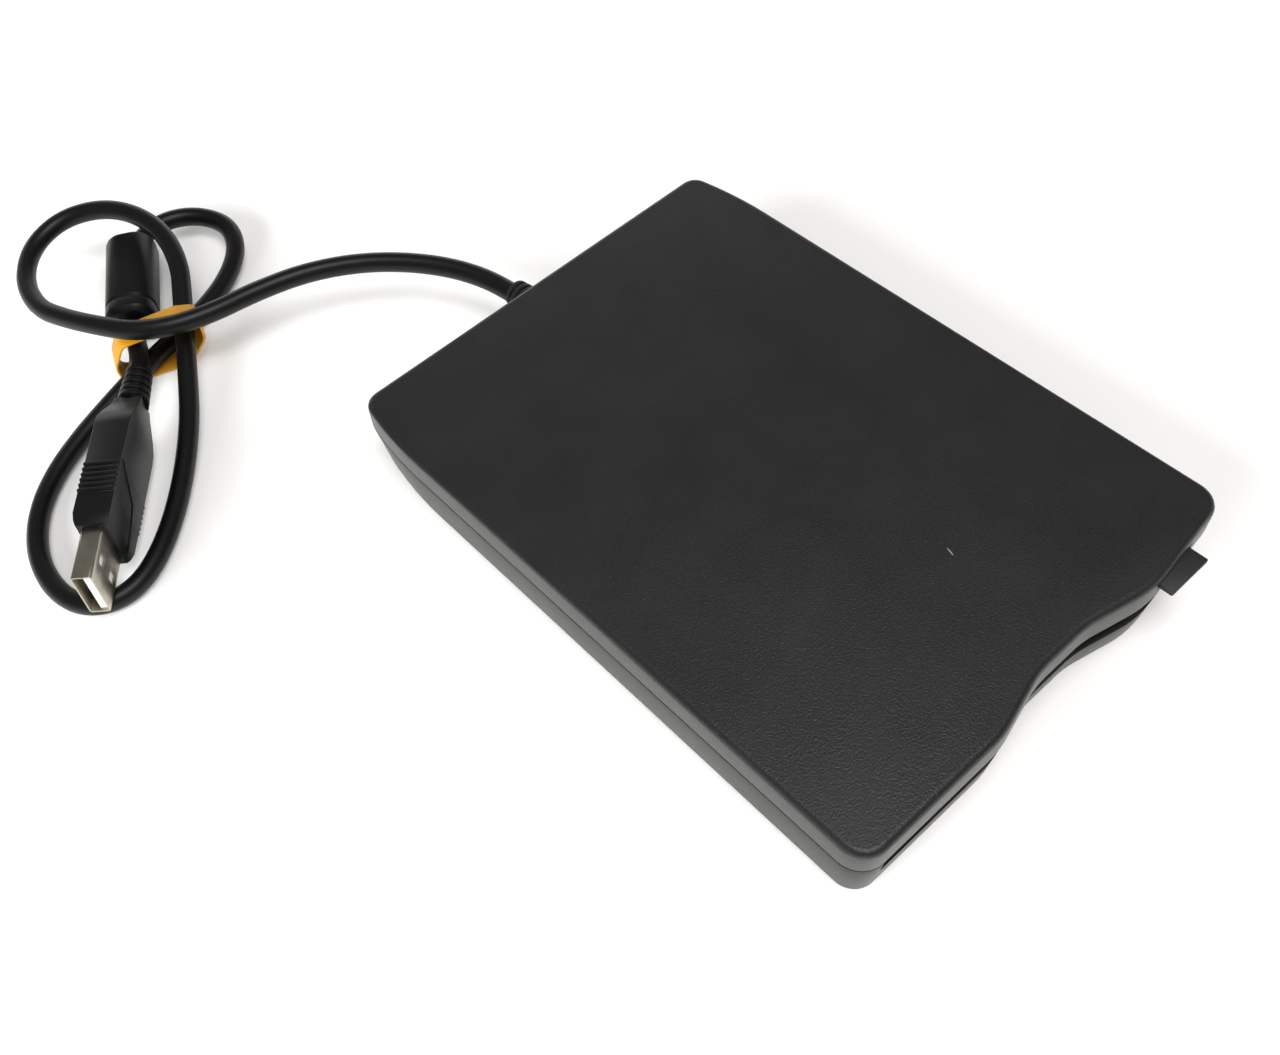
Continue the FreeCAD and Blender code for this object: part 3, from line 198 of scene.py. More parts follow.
class Paint:
    """A node material under construction, with its main shader at hand."""

    def __init__(self, name):
        self.material = bpy.data.materials.new(name)
        self.material.use_nodes = True
        self.tree = self.material.node_tree
        self.tree.nodes.clear()
        self.end = self.tree.nodes.new("ShaderNodeOutputMaterial")
        self.shader = self.tree.nodes.new("ShaderNodeBsdfPrincipled")
        self.tree.links.new(self.shader.outputs[0], self.end.inputs[0])
        self.place = self.node("ShaderNodeTexCoord", {}, {}, "Object")

    def fill(self, socket, value):
        if isinstance(value, Flow):
            self.tree.links.new(value.socket, socket)
        else:
            socket.default_value = value

    def node(self, kind, settings, inputs, output=0):
        made = self.tree.nodes.new(kind)
        for key, value in settings.items():
            setattr(made, key, value)
        for key, value in inputs.items():
            self.fill(made.inputs[key], value)
        return Flow(self, made.outputs[output])

    def set(self, **values):
        for key, value in values.items():
            self.fill(self.shader.inputs[key.replace("_", " ")], value)
        return self

    def noise(self, grain, detail=3.0, place=None):
        """Cloudy noise whose patches are about so many millimetres across."""
        return self.node("ShaderNodeTexNoise", {},
                         {"Vector": place or self.place, "Scale": 1 / (grain * MM),
                          "Detail": detail, "Roughness": NOISE_ROUGHNESS})

    def stretched(self, x, y, z):
        """The place on the piece, stretched so that noise becomes streaks."""
        return self.node("ShaderNodeMapping", {}, {"Vector": self.place, "Scale": (x, y, z)})

    def between(self, low, high, share):
        """A number that goes from low to high as share goes from 0 to 1."""
        return share * (high - low) + low

    def mix(self, first, second, share):
        """One colour turning into another."""
        return self.node("ShaderNodeMix", {"data_type": "RGBA"}, {0: share, 6: first, 7: second}, 2)

    def band(self, value, low, high):
        """0 below low, 1 above high, and a straight rise between them."""
        return self.node("ShaderNodeMapRange", {}, {"Value": value, "From Min": low, "From Max": high})

    def bump(self, height, depth):
        """Small relief, so many millimetres deep."""
        return self.node("ShaderNodeBump", {}, {"Height": height, "Distance": depth * MM})


def rgb(red, green, blue):
    """A colour given as 0 to 255, turned by the sRGB curve into the light values that shaders use."""
    def linear(value):
        share = value / 255
        return share / 12.92 if share <= 0.04045 else ((share + 0.055) / 1.055) ** 2.4
    return (linear(red), linear(green), linear(blue), 1.0)


def scaled(colour, factor, extra=0.0):
    """The same colour, lighter or darker by a factor."""
    return tuple(min(c * factor + extra, 1.0) for c in colour[:3]) + (1.0,)


# %% [markdown]
# ## Moulded plastic
# The covers are injection moulded in dark grey plastic with a fine spark texture. The texture is about
# half a millimetre across and less than a tenth deep, and it is what makes the sheen soft. Handling
# polishes and greys the plastic in patches, which the noise in colour and roughness stands for. The seam
# between the covers gets painted shade, its groove coloured black, and the top has one light scratch.


# %% Plastic and rubber
CLOUD_GRAIN, DUST_GRAIN = 18.0, 1.6
CLOUD_RANGE, DUST_RANGE, SPARK_RANGE = (0.3, 0.75), (0.62, 0.8), (0.4, 0.75)
SHADED, DUSTED, DUST_LIFT = 0.86, 1.9, 0.004
DUST_SHARE, SPARK_SHARE, SCRATCH_SHARE = 0.22, 0.5, 0.4
SPARK_ROUGHNESS = 0.06
SCRATCH_COLOUR = rgb(200, 200, 196)
SCRATCH_DEPTH = 10.0


def scratched(paint, tone, place, heading, length, width):
    """The colour with a light mark on it, an oval given by its half length and half width."""
    mark = paint.node("ShaderNodeMapping", {"vector_type": "TEXTURE"},
                      {"Vector": paint.place, "Location": [c * MM for c in place],
                       "Rotation": (0, 0, math.radians(heading)),
                       "Scale": (length * MM, width * MM, SCRATCH_DEPTH * MM)})
    off = paint.node("ShaderNodeVectorMath", {"operation": "LENGTH"}, {0: mark}, "Value")
    return paint.mix(tone, SCRATCH_COLOUR, (1.0 - off.above(1.0)) * SCRATCH_SHARE)


def painted_groove_shade(paint, tone, low, high):
    """The colour with painted shade: black between two heights, where the seam's groove lies."""
    height = paint.node("ShaderNodeSeparateXYZ", {}, {0: paint.place}, 2)
    inside = height.above(low * MM) * (1.0 - height.above(high * MM))
    return paint.mix(tone, (0, 0, 0, 1), inside)


def moulded(name, colour, grain=0.25, depth=0.02, rough=(0.42, 0.6), worn=1.25, gloss=0.5,
            groove=None, scratch=None):
    """Textured plastic or rubber. The grain of its texture and its depth are in millimetres."""
    paint = Paint(name)
    cloud = paint.noise(CLOUD_GRAIN, 4.0)
    fine = paint.noise(grain, 2.0)
    dust = paint.band(paint.noise(DUST_GRAIN, 5.0), *DUST_RANGE)
    light = scaled(colour, worn)
    tone = paint.mix(scaled(colour, SHADED), light, paint.band(cloud, *CLOUD_RANGE))
    tone = paint.mix(tone, scaled(colour, DUSTED, DUST_LIFT), dust * DUST_SHARE)
    tone = paint.mix(tone, light, paint.band(fine, *SPARK_RANGE) * SPARK_SHARE)
    if scratch:
        tone = scratched(paint, tone, *scratch)
    # The seam's groove gets painted shade: black between its two heights.
    if groove:
        tone = painted_groove_shade(paint, tone, *groove)
    roughness = paint.between(rough[0], rough[1], cloud) + fine * SPARK_ROUGHNESS
    paint.set(Base_Color=tone, Roughness=roughness, Specular_IOR_Level=gloss,
              Normal=paint.bump(fine, depth))
    return paint.material


# %% [markdown]
# ## Metals
# Pressed steel sheet shows the roller's fine streaks, turned rods shine evenly, and a nickel plated plug
# shell has faint scuffs from being pushed in and out. All of them are one recipe with a streak
# direction, a streak width and a tint.


# %% Metal
SCUFF_GRAIN = 9.0
METAL_SHADE, METAL_RANGE = 0.8, (0.35, 0.62)
STREAK_PART, SCUFF_PART = 0.6, 0.4
SCUFF_ROUGHNESS = 0.08


def metal(name, colour, rough=(0.22, 0.42), streak=(40.0, 1.0, 1.0), grain=3.0, depth=0.006):
    """Bare metal. The streak squeezes the noise along each axis, and the grain is in millimetres."""
    paint = Paint(name)
    streaks = paint.noise(grain, 3.0, paint.stretched(*streak))
    scuffs = paint.noise(SCUFF_GRAIN, 4.0)
    share = paint.band(streaks * STREAK_PART + scuffs * SCUFF_PART, *METAL_RANGE)
    tone = paint.mix(scaled(colour, METAL_SHADE), colour, share)
    paint.set(Base_Color=tone, Metallic=1.0,
              Roughness=paint.between(rough[0], rough[1], streaks) + scuffs * SCUFF_ROUGHNESS,
              Normal=paint.bump(streaks, depth))
    return paint.material


# %% [markdown]
# ## Circuit boards and windings
# A board is green solder mask over copper: traces show as slightly lighter, slightly raised lines with
# small bright pads. The coils are enamelled wire, so they get fine rings of painted highlight and shade.


# %% Boards and coils
PADS_PER_METRE, TRACES_PER_METRE, RINGS_PER_METRE = 260.0, 420.0, 900.0
PAD_RANGE, PAD_SHARE = (0.1, 0.13), 0.8


def circuit_board(name):
    """Green solder mask with traces and pads."""
    paint = Paint(name)
    cells = paint.node("ShaderNodeTexVoronoi", {"distance": "CHEBYCHEV", "feature": "F1"},
                       {"Vector": paint.place, "Scale": PADS_PER_METRE}, "Distance")
    lines = paint.node("ShaderNodeTexBrick", {"offset": 0.37},
                       {"Vector": paint.place, "Scale": TRACES_PER_METRE, "Mortar Size": 0.06,
                        "Color1": (0, 0, 0, 1), "Color2": (0, 0, 0, 1), "Mortar": (1, 1, 1, 1)}, "Fac")
    pads = 1.0 - paint.band(cells, *PAD_RANGE)
    tone = paint.mix(rgb(14, 66, 36), rgb(30, 100, 52), lines)
    tone = paint.mix(tone, rgb(205, 200, 180), pads * PAD_SHARE)
    paint.set(Base_Color=tone, Roughness=paint.between(0.34, 0.5, paint.noise(4.0)),
              Normal=paint.bump(lines + pads, 0.02))
    return paint.material


def wound_wire(name):
    """Enamelled copper, with painted highlight and shade in fine rings that stand for the turns."""
    paint = Paint(name)
    turns = paint.node("ShaderNodeTexWave", {"wave_type": "RINGS", "rings_direction": "SPHERICAL"},
                       {"Vector": paint.place, "Scale": RINGS_PER_METRE, "Distortion": 0.4}, "Fac")
    # The two copper tones are a painted highlight and painted shade on each turn.
    tone = paint.mix(rgb(120, 54, 20), rgb(206, 118, 62), turns)
    paint.set(Base_Color=tone, Metallic=0.8, Roughness=paint.between(0.3, 0.45, turns),
              Normal=paint.bump(turns, 0.05))
    return paint.material


# %% [markdown]
# ## Every hidden and shown piece gets its finish
# The record says which slot each piece takes its finish from. Two tables hold the choices for the
# plastics and the metals, each slot gets one material, and a loop hands them out, so that no piece keeps
# a bare colour.

# %% The finishes by slot
RIM_ROUND = 0.14
SEAM = 0.4
seam_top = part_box("top_cover")[0].z / MM
SCRATCH = ((6.4, -39.3, 18.4), 75, 1.0, 0.12)
plastics = {
    "cover_top": dict(colour=rgb(25, 25, 25), grain=0.45, depth=0.09, rough=(0.28, 0.4), gloss=0.45,
                      scratch=SCRATCH),
    # The base's seam groove gets painted shade, black between these heights.
    "cover_base": dict(colour=rgb(28, 28, 27), grain=0.45, depth=0.07, rough=(0.28, 0.4), gloss=0.42,
                       groove=(seam_top - SEAM, seam_top + RIM_ROUND)),
    "button_plastic": dict(colour=rgb(34, 33, 34), grain=0.4),
    "door_plastic": dict(colour=rgb(22, 22, 23), rough=(0.5, 0.7), gloss=0.3),
    "soft_rubber": dict(colour=rgb(22, 22, 23), grain=0.4, rough=(0.5, 0.7), gloss=0.35),
    "cord_rubber": dict(colour=rgb(9, 9, 9), grain=0.5, depth=0.012, rough=(0.3, 0.42), worn=1.2,
                        gloss=0.3),
    "band_rubber": dict(colour=rgb(196, 138, 30), grain=0.6, depth=0.03, rough=(0.45, 0.62), worn=1.15),
    "chip_black": dict(colour=rgb(26, 26, 27), grain=0.2, rough=(0.5, 0.7)),
    "magnet_grey": dict(colour=rgb(70, 70, 72), grain=0.4, rough=(0.5, 0.7)),
    "flex_amber": dict(colour=rgb(150, 82, 24), grain=1.2, depth=0.01, rough=(0.22, 0.35)),
    "head_ceramic": dict(colour=rgb(74, 70, 66), grain=0.3, depth=0.005, rough=(0.12, 0.25)),
    "nylon_white": dict(colour=rgb(222, 220, 212), grain=0.5, rough=(0.4, 0.55), worn=1.05),
}
metals = {
    "sheet_steel": dict(colour=rgb(196, 196, 192)),
    "rod_steel": dict(colour=rgb(205, 205, 205), rough=(0.12, 0.25), streak=(1, 12, 1)),
    "screw_steel": dict(colour=rgb(150, 150, 150), rough=(0.25, 0.4), streak=(1, 1, 1)),
    "spring_steel": dict(colour=rgb(180, 178, 172), rough=(0.2, 0.35), streak=(1, 30, 1), grain=1.2,
                         depth=0.05),
    "connector_metal": dict(colour=rgb(186, 180, 166), rough=(0.22, 0.34), streak=(1, 1, 1), grain=5.0),
    "hub_brass": dict(colour=rgb(190, 150, 80), streak=(1, 1, 1)),
    "contact_gold": dict(colour=rgb(214, 172, 84), rough=(0.15, 0.3), streak=(3, 3, 3)),
    "alloy": dict(colour=rgb(176, 176, 178), rough=(0.4, 0.6), streak=(1, 1, 1), grain=0.6, depth=0.03),
    "crystal_metal": dict(colour=rgb(190, 190, 188), rough=(0.15, 0.3)),
}
finishes = {slot: moulded(slot, **choices) for slot, choices in plastics.items()}
finishes.update({slot: metal(slot, **choices) for slot, choices in metals.items()})
finishes["board_green"] = circuit_board("board_green")
finishes["coil_copper"] = wound_wire("coil_copper")
node_slots = {part["node"]: part["material_slot"] for part in record["subparts"]}


def dress(piece, slot):
    """Give a piece the material of a slot, in place of whatever it came with."""
    piece.data.materials.clear()
    piece.data.materials.append(finishes[slot])


for name, piece in nodes.items():
    dress(piece, node_slots[name])
print("finishes", len(finishes))

# %% [markdown]
# ## Working as by hand
# The next helpers are the few moves that every piece needs: let go of everything, start from a simple
# form, change it in edit mode, then apply the modifiers and put the piece's place into its mesh. The
# selection is always made in code, by where a face or an edge lies.


# %% Modelling helpers
FACING = 0.9
LONG_EDGE = 5.0
CLOSE = 0.05


def let_go():
    """Leave edit mode and select nothing."""
    if bpy.context.object and bpy.context.object.mode != "OBJECT":
        bpy.ops.object.mode_set(mode="OBJECT")
    bpy.ops.object.select_all(action="DESELECT")


def pick(piece):
    """Select just this piece and make it the active one."""
    let_go()
    piece.select_set(True)
    bpy.context.view_layer.objects.active = piece


def start_box(name, low, high):
    """A box between two corners, in millimetres, ready to be shaped."""
    let_go()
    centre = [(a + b) / 2 * MM for a, b in zip(low, high)]
    bpy.ops.mesh.primitive_cube_add(size=1, location=centre)
    piece = bpy.context.object
    piece.name = piece.data.name = name
    piece.scale = [(b - a) * MM for a, b in zip(low, high)]
    bpy.ops.object.transform_apply(location=True, rotation=True, scale=True)
    return piece


def select_by(piece, test, kind="FACE"):
    """In edit mode, select just the faces, edges or points whose centre passes the test, in millimetres."""
    bpy.ops.mesh.select_mode(type=kind)
    bpy.ops.mesh.select_all(action="DESELECT")
    bpy.ops.object.mode_set(mode="OBJECT")
    data = piece.data
    points = data.vertices
    if kind == "FACE":
        for face in data.polygons:
            face.select = test(face.center / MM, face.normal)
    elif kind == "EDGE":
        for edge in data.edges:
            a, b = points[edge.vertices[0]].co, points[edge.vertices[1]].co
            edge.select = test((a + b) / 2 / MM, (b - a) / MM)
    else:
        for point in points:
            point.select = test(point.co / MM, None)
    bpy.ops.object.mode_set(mode="EDIT")


def slice_at(piece, axis, places):
    """In edit mode, cut the whole piece through at each place along an axis."""
    normal = [1.0 if i == axis else 0.0 for i in range(3)]
    for place in places:
        bpy.ops.mesh.select_all(action="SELECT")
        at = [place * MM if i == axis else 0.0 for i in range(3)]
        bpy.ops.mesh.bisect(plane_co=at, plane_no=normal)


def soften(piece, width, segments=3, angle=35.0, smooth=40.0):
    """Round the sharp edges a little and shade the rest smooth."""
    pick(piece)
    bevel = piece.modifiers.new("soft_edges", "BEVEL")
    bevel.width = width * MM
    bevel.segments = segments
    bevel.limit_method = "ANGLE"
    bevel.angle_limit = math.radians(angle)
    bevel.use_clamp_overlap = True
    bpy.ops.object.modifier_apply(modifier="soft_edges")
    bpy.ops.object.shade_smooth_by_angle(angle=math.radians(smooth))


def place_in(piece, matrix):
    """Put a piece that was shaped at the origin where it belongs, and apply its place."""
    pick(piece)
    piece.matrix_world = matrix
    bpy.ops.object.transform_apply(location=True, rotation=True, scale=True)


def tidy_normals(piece):
    """Join the points that lie on each other and turn every face outwards."""
    pick(piece)
    bpy.ops.object.mode_set(mode="EDIT")
    bpy.ops.mesh.select_all(action="SELECT")
    bpy.ops.mesh.remove_doubles(threshold=1e-6)
    bpy.ops.mesh.normals_make_consistent(inside=False)
    bpy.ops.object.mode_set(mode="OBJECT")


def settle(piece, body, slot, *stands_for):
    """Finish, body and slot of a made piece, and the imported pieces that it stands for."""
    dress(piece, slot)
    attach(piece, body)
    if stands_for:
        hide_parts(*stands_for)
    count = len(piece.data.polygons) if piece.type == "MESH" else 0
    print(piece.name, "faces", count)


# %% [markdown]
# ## The two covers and the button
# The covers' shapes are exact already, but a moulded edge is never razor sharp: light catches a tiny
# round along every rim. So each shell is copied, its triangles are merged into flat faces, and
# the rims get the small round that was named with the finishes, which leaves the seam open.


# %% Covers with soft rims
def soft_copy(node, name, width):
    """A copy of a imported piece, its rims rounded by so many millimetres."""
    let_go()
    piece = bpy.data.objects.new(name, nodes[node].data.copy())
    bpy.context.scene.collection.objects.link(piece)
    pick(piece)
    bpy.ops.object.mode_set(mode="EDIT")
    bpy.ops.mesh.select_all(action="SELECT")
    bpy.ops.mesh.remove_doubles(threshold=2e-6)
    bpy.ops.mesh.dissolve_limited(angle_limit=math.radians(0.3))
    bpy.ops.object.mode_set(mode="OBJECT")
    soften(piece, width, segments=2, angle=40.0, smooth=32.0)
    return piece


shell_top = soft_copy("top_cover", "shell_top", RIM_ROUND)
settle(shell_top, "case", "cover_top", "top_cover")
shell_base = soft_copy("bottom_cover", "shell_base", RIM_ROUND)
settle(shell_base, "case", "cover_base", "bottom_cover")
button_cap = soft_copy("eject_button", "button_cap", 0.12)
settle(button_cap, "slider", "button_plastic", "eject_button")

# %% [markdown]
# ## The cord's own frame
# The ferrite and the plug lie at an angle, so they are easiest to shape along the X axis and put in
# place at the end. A frame is made from two points: X runs along the piece, Z stays as upright as it
# can.


# %% Frames along the cord
def frame_between(start, end):
    """Where a piece lies whose X axis runs from start to end, both in millimetres."""
    along = (end - start).normalized()
    side = Vector((0, 0, 1)).cross(along).normalized()
    up = along.cross(side)
    turn = Matrix((along, side, up)).transposed().to_4x4()
    return Matrix.Translation(start * MM) @ turn


plug_start = Vector((-78.3, 124.2, 9.4))
plug_tip = Vector((-118.4, 75.5, 11.5))
plug_frame = frame_between(plug_start, plug_tip)
plug_length = (plug_tip - plug_start).length
SHELL_EXPOSED = 12.8
MOULD_LENGTH = 40.0
mould_end = plug_length - SHELL_EXPOSED
mould_start = mould_end - MOULD_LENGTH
print("plug length", round(plug_length, 1))

# %% [markdown]
# ## The plug's grip
# The grip is a slim black moulding: small and square where the boot ends, then widening over a
# centimetre to the height of the fingers. Six raised ridges on each narrow edge keep it from slipping. It
# starts as a box that is cut through at its stations, and each station is then scaled to its real size.

# %% The grip
GRIP_WIDTH, GRIP_HEIGHT = 8.0, 15.6
stations = [(0.0, 6.0, 6.4), (2.0, 6.6, 7.0), (4.5, 7.3, 9.4), (7.0, 7.8, 12.4), (9.5, 8.0, 14.8),
            (12.0, 8.0, 15.6), (37.0, 8.0, 15.6), (38.8, 7.4, 14.8), (40.0, 6.4, 13.8)]
FIRST_RIDGE, RIDGE_PITCH, RIDGE_COUNT = 23.6, 1.45, 6
RIDGE, RIDGE_HEIGHT = 0.85, 0.45
ridge_places = [FIRST_RIDGE + RIDGE_PITCH * i for i in range(RIDGE_COUNT)]


def model_grip():
    piece = start_box("plug_grip", (0, -GRIP_WIDTH / 2, -GRIP_HEIGHT / 2),
                      (MOULD_LENGTH, GRIP_WIDTH / 2, GRIP_HEIGHT / 2))
    bpy.ops.object.mode_set(mode="EDIT")
    slice_at(piece, 0, [s[0] for s in stations[1:-1]])
    slice_at(piece, 0, [x for r in ridge_places for x in (r, r + RIDGE)])
    for x, width, height in stations:
        select_by(piece, lambda p, n: abs(p.x - x) < CLOSE, "VERT")
        bpy.ops.transform.resize(value=(1, width / GRIP_WIDTH, height / GRIP_HEIGHT))
    select_by(piece, lambda p, n: abs(n.z) > FACING and any(r < p.x < r + RIDGE for r in ridge_places))
    bpy.ops.mesh.extrude_region_shrink_fatten(TRANSFORM_OT_shrink_fatten={"value": RIDGE_HEIGHT * MM})
    bpy.ops.object.mode_set(mode="OBJECT")
    tidy_normals(piece)
    soften(piece, 0.55)
    return piece


grip = model_grip()
print("grip faces", len(grip.data.polygons))

# %% [markdown]
# The mould leaves a folded line on each wide face, like one half of an arrow. It is laid on as two thin
# strips that meet at a point, modelled once for each face.


# %% The folded line on the grip
fold_line = [(22.5, 6.6), (28.0, -2.2), (39.2, -4.8)]
FOLD_END, FOLD_HEIGHT, FOLD_HALF = 0.15, 0.18, 0.22


def model_fold(side):
    """The two strips of the folded line on one wide face."""
    strips = []
    for (x0, z0), (x1, z1) in zip(fold_line, fold_line[1:]):
        run = Vector((x1 - x0, 0, z1 - z0))
        strip = start_box("fold", (-FOLD_END, -FOLD_HEIGHT, -FOLD_HALF),
                          (run.length + FOLD_END, FOLD_HEIGHT, FOLD_HALF))
        lean = Matrix.Rotation(-math.atan2(run.z, run.x), 4, "Y")
        shift = Matrix.Translation(Vector((x0, side * GRIP_WIDTH / 2, z0)) * MM)
        place_in(strip, shift @ lean)
        strips.append(strip)
    return strips


for side in (-1, 1):
    for strip in model_fold(side):
        soften(strip, 0.05, segments=2)
        strip.select_set(True)
        grip.select_set(True)
        bpy.context.view_layer.objects.active = grip
        bpy.ops.object.join()
place_in(grip, plug_frame @ Matrix.Translation(Vector((mould_start, 0, 0)) * MM))
settle(grip, "case", "cord_rubber", "plug_overmould")

# %% [markdown]
# ## Turned forms
# The boot behind the plug and the strain relief at the drive are round, tapered and ribbed. A circle is
# extruded ring by ring and each ring is scaled to its radius, which is how such a form is built up by
# hand. Ribs are just rings that go in and out.


# %% Ribbed boots
SLOPE = 0.08


def turned(name, rings, sides=40):
    """A round form along Z from a list of height and radius, in millimetres, closed at both ends."""
    let_go()
    bpy.ops.mesh.primitive_circle_add(vertices=sides, radius=rings[0][1] * MM, fill_type="NGON",
                                      location=(0, 0, rings[0][0] * MM))
    piece = bpy.context.object
    piece.name = piece.data.name = name
    bpy.ops.object.transform_apply(location=True, rotation=True, scale=True)
    bpy.ops.object.mode_set(mode="EDIT")
    bpy.ops.mesh.select_all(action="SELECT")
    for (z0, r0), (z1, r1) in zip(rings, rings[1:]):
        bpy.ops.mesh.extrude_region_move(TRANSFORM_OT_translate={"value": (0, 0, (z1 - z0) * MM)})
        bpy.ops.transform.resize(value=(r1 / r0, r1 / r0, 1))
    bpy.ops.object.mode_set(mode="OBJECT")
    tidy_normals(piece)
    return piece


def ribbed(start, end, first, last, ribs, depth, share):
    """Rings of a taper from one radius to another. A rib takes its share of each step, then a groove."""
    step = (end - start) / ribs
    rings = []
    for i in range(ribs):
        z = start + i * step
        wide = first + (last - first) * i / ribs
        rings += [(z, wide), (z + step * share, wide), (z + step * (share + SLOPE), wide - depth),
                  (z + step * (1 - SLOPE), wide - depth)]
    rings.append((end, last))
    return rings


ALONG_X = Matrix.Rotation(math.radians(90), 4, "Y")
boot_rings = ribbed(0.0, mould_start, first=3.1, last=3.7, ribs=5, depth=0.6, share=0.6)
boot = turned("plug_boot_ribs", boot_rings)
soften(boot, 0.12, segments=2)
place_in(boot, plug_frame @ ALONG_X)
settle(boot, "case", "cord_rubber", "plug_boot")

ALONG_Y = Matrix.Rotation(math.radians(-90), 4, "X")
gland_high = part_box("cord_gland")[1]
GLAND_X, GLAND_Z, GLAND_OUT = -1.0, 10.6, 7.4
gland_y = gland_high.y / MM - GLAND_OUT
gland_rings = [(-4.4, 4.6), (-2.8, 4.6), (-2.75, 3.1), (0.0, 3.1), (0.05, 4.1), (1.6, 3.88), (1.7, 3.3),
               (2.2, 3.25), (2.3, 3.8), (3.5, 3.65), (3.6, 3.05), (4.1, 3.0), (4.2, 3.55), (5.4, 3.4),
               (5.5, 2.85), (6.0, 2.8), (6.1, 3.3), (7.2, 3.15), (GLAND_OUT, 2.9)]
gland = turned("cord_relief", gland_rings)
soften(gland, 0.1, segments=2)
place_in(gland, Matrix.Translation(Vector((GLAND_X, gland_y, GLAND_Z)) * MM) @ ALONG_Y)
settle(gland, "case", "soft_rubber", "cord_gland")

# %% [markdown]
# ## The plug's metal shell
# The bare end of the plug is a box folded from nickel plated sheet, with two square windows in each
# wide face and rounded corners. The box is given its round corners first, then its front is opened and
# the walls get their thickness, so that the inside follows the outside.

# %% The metal shell
SHELL_WIDTH, SHELL_DEPTH, SHEET = 12.0, 4.5, 0.35
SHELL_BACK, SHELL_ROUND = 0.4, 0.6
WINDOW_FROM_TIP, WINDOW_FROM_MIDDLE = (7.6, 5.2), (1.75, 4.05)


def model_shell():
    low = mould_end - SHELL_BACK
    piece = start_box("plug_sleeve", (low, -SHELL_DEPTH / 2, -SHELL_WIDTH / 2),
                      (plug_length, SHELL_DEPTH / 2, SHELL_WIDTH / 2))
    bpy.ops.object.mode_set(mode="EDIT")
    select_by(piece, lambda p, d: abs(d.x) > LONG_EDGE, "EDGE")
    bpy.ops.mesh.bevel(offset=SHELL_ROUND * MM, segments=4, affect="EDGES")
    back, front = [plug_length - reach for reach in WINDOW_FROM_TIP]
    near, far = WINDOW_FROM_MIDDLE
    slice_at(piece, 0, [back, front])
    slice_at(piece, 2, [-far, -near, near, far])
    select_by(piece, lambda p, n: abs(n.y) > FACING and back < p.x < front and near < abs(p.z) < far)
    bpy.ops.mesh.delete(type="FACE")
    select_by(piece, lambda p, n: abs(n.x) > FACING)
    bpy.ops.mesh.delete(type="FACE")
    bpy.ops.object.mode_set(mode="OBJECT")
    tidy_normals(piece)
    wall = piece.modifiers.new("wall", "SOLIDIFY")
    wall.thickness = SHEET * MM
    wall.offset = -1
    bpy.ops.object.modifier_apply(modifier="wall")
    return piece


sleeve = model_shell()
soften(sleeve, 0.06, segments=2)
place_in(sleeve, plug_frame)
settle(sleeve, "case", "connector_metal", "plug_shell")

# %% [markdown]
# ## The ferrite
# The lump near the plug is a ferrite ring in a moulded black jacket: a rounded block a bit longer than
# a thumbnail, chamfered at its ends, with a shallow collar groove near the lower one. The box is cut
# where the groove lies, the groove's points are drawn in, and the long edges are rounded widely.

# %% The ferrite's jacket
FERRITE = (29.0, 12.4, 12.0)
FERRITE_ROUND = 4.9
CHAMFER, END_SHARE = 1.2, 0.8
GROOVE_FROM_END, GROOVE_SHARE = (5.2, 5.0, 4.4, 4.2), 0.93
ferrite_ends = [Vector(cord_points[i]) for i in (45, 47)]


def model_ferrite():
    length, width, height = FERRITE
    piece = start_box("ferrite_jacket", (0, -width / 2, -height / 2), (length, width / 2, height / 2))
    bpy.ops.object.mode_set(mode="EDIT")
    select_by(piece, lambda p, d: abs(d.x) > LONG_EDGE, "EDGE")
    bpy.ops.mesh.bevel(offset=FERRITE_ROUND * MM, segments=10, affect="EDGES")
    groove = [length - reach for reach in GROOVE_FROM_END]
    slice_at(piece, 0, [CHAMFER, *groove, length - CHAMFER])
    for x, share in ((0.0, END_SHARE), (length, END_SHARE), (groove[1], GROOVE_SHARE),
                     (groove[2], GROOVE_SHARE)):
        select_by(piece, lambda p, n: abs(p.x - x) < CLOSE, "VERT")
        bpy.ops.transform.resize(value=(1, share, share))
    bpy.ops.object.mode_set(mode="OBJECT")
    soften(piece, 0.3, angle=28.0, smooth=50.0)
    return piece


ferrite = model_ferrite()
middle = (ferrite_ends[0] + ferrite_ends[1]) / 2
half = (ferrite_ends[1] - ferrite_ends[0]).normalized() * FERRITE[0] / 2
place_in(ferrite, frame_between(middle - half, middle + half))
settle(ferrite, "case", "cord_rubber", "ferrite_cover")

# %% [markdown]
# ## The band
# A wide flat rubber band holds the folded cord. It is stretched over the strands, so its line is
# straight between them and round where it goes over one. An open cylinder gives the closed strip; each
# of its columns of points is then moved to its place on that line, and the strip gets its thickness.

# %% The band round the bundle
BAND_WIDTH, BAND_THICKNESS, BAND_START = 7.0, 0.6, -2.0
band_outline = [(-10.2, 7.0, 3.6), (-5.0, 0.95, 3.0), (10.6, 0.95, 2.2), (11.2, 6.0, 4.5),
                (8.0, 11.65, 3.0), (-6.0, 12.9, 3.0), (-10.3, 11.7, 1.6)]
BAND_SIDES = 96
band_heading = math.radians(159.0)
band_centre = Vector((-69.5, 130.5, 0.0))


def rounded_line(corners, steps=12):
    """Points along a closed line of straight runs and round corners."""
    line = []
    for i, (x, z, radius) in enumerate(corners):
        here = Vector((x, z))
        back = (Vector(corners[i - 1][:2]) - here).normalized()
        ahead = (Vector(corners[(i + 1) % len(corners)][:2]) - here).normalized()
        half_turn = (math.pi - back.angle(ahead)) / 2
        reach = radius * math.tan(half_turn)
        start, end = here + back * reach, here + ahead * reach
        for k in range(steps + 1):
            t = k / steps
            line.append((1 - t) ** 2 * start + 2 * t * (1 - t) * here + t * t * end)
    return line


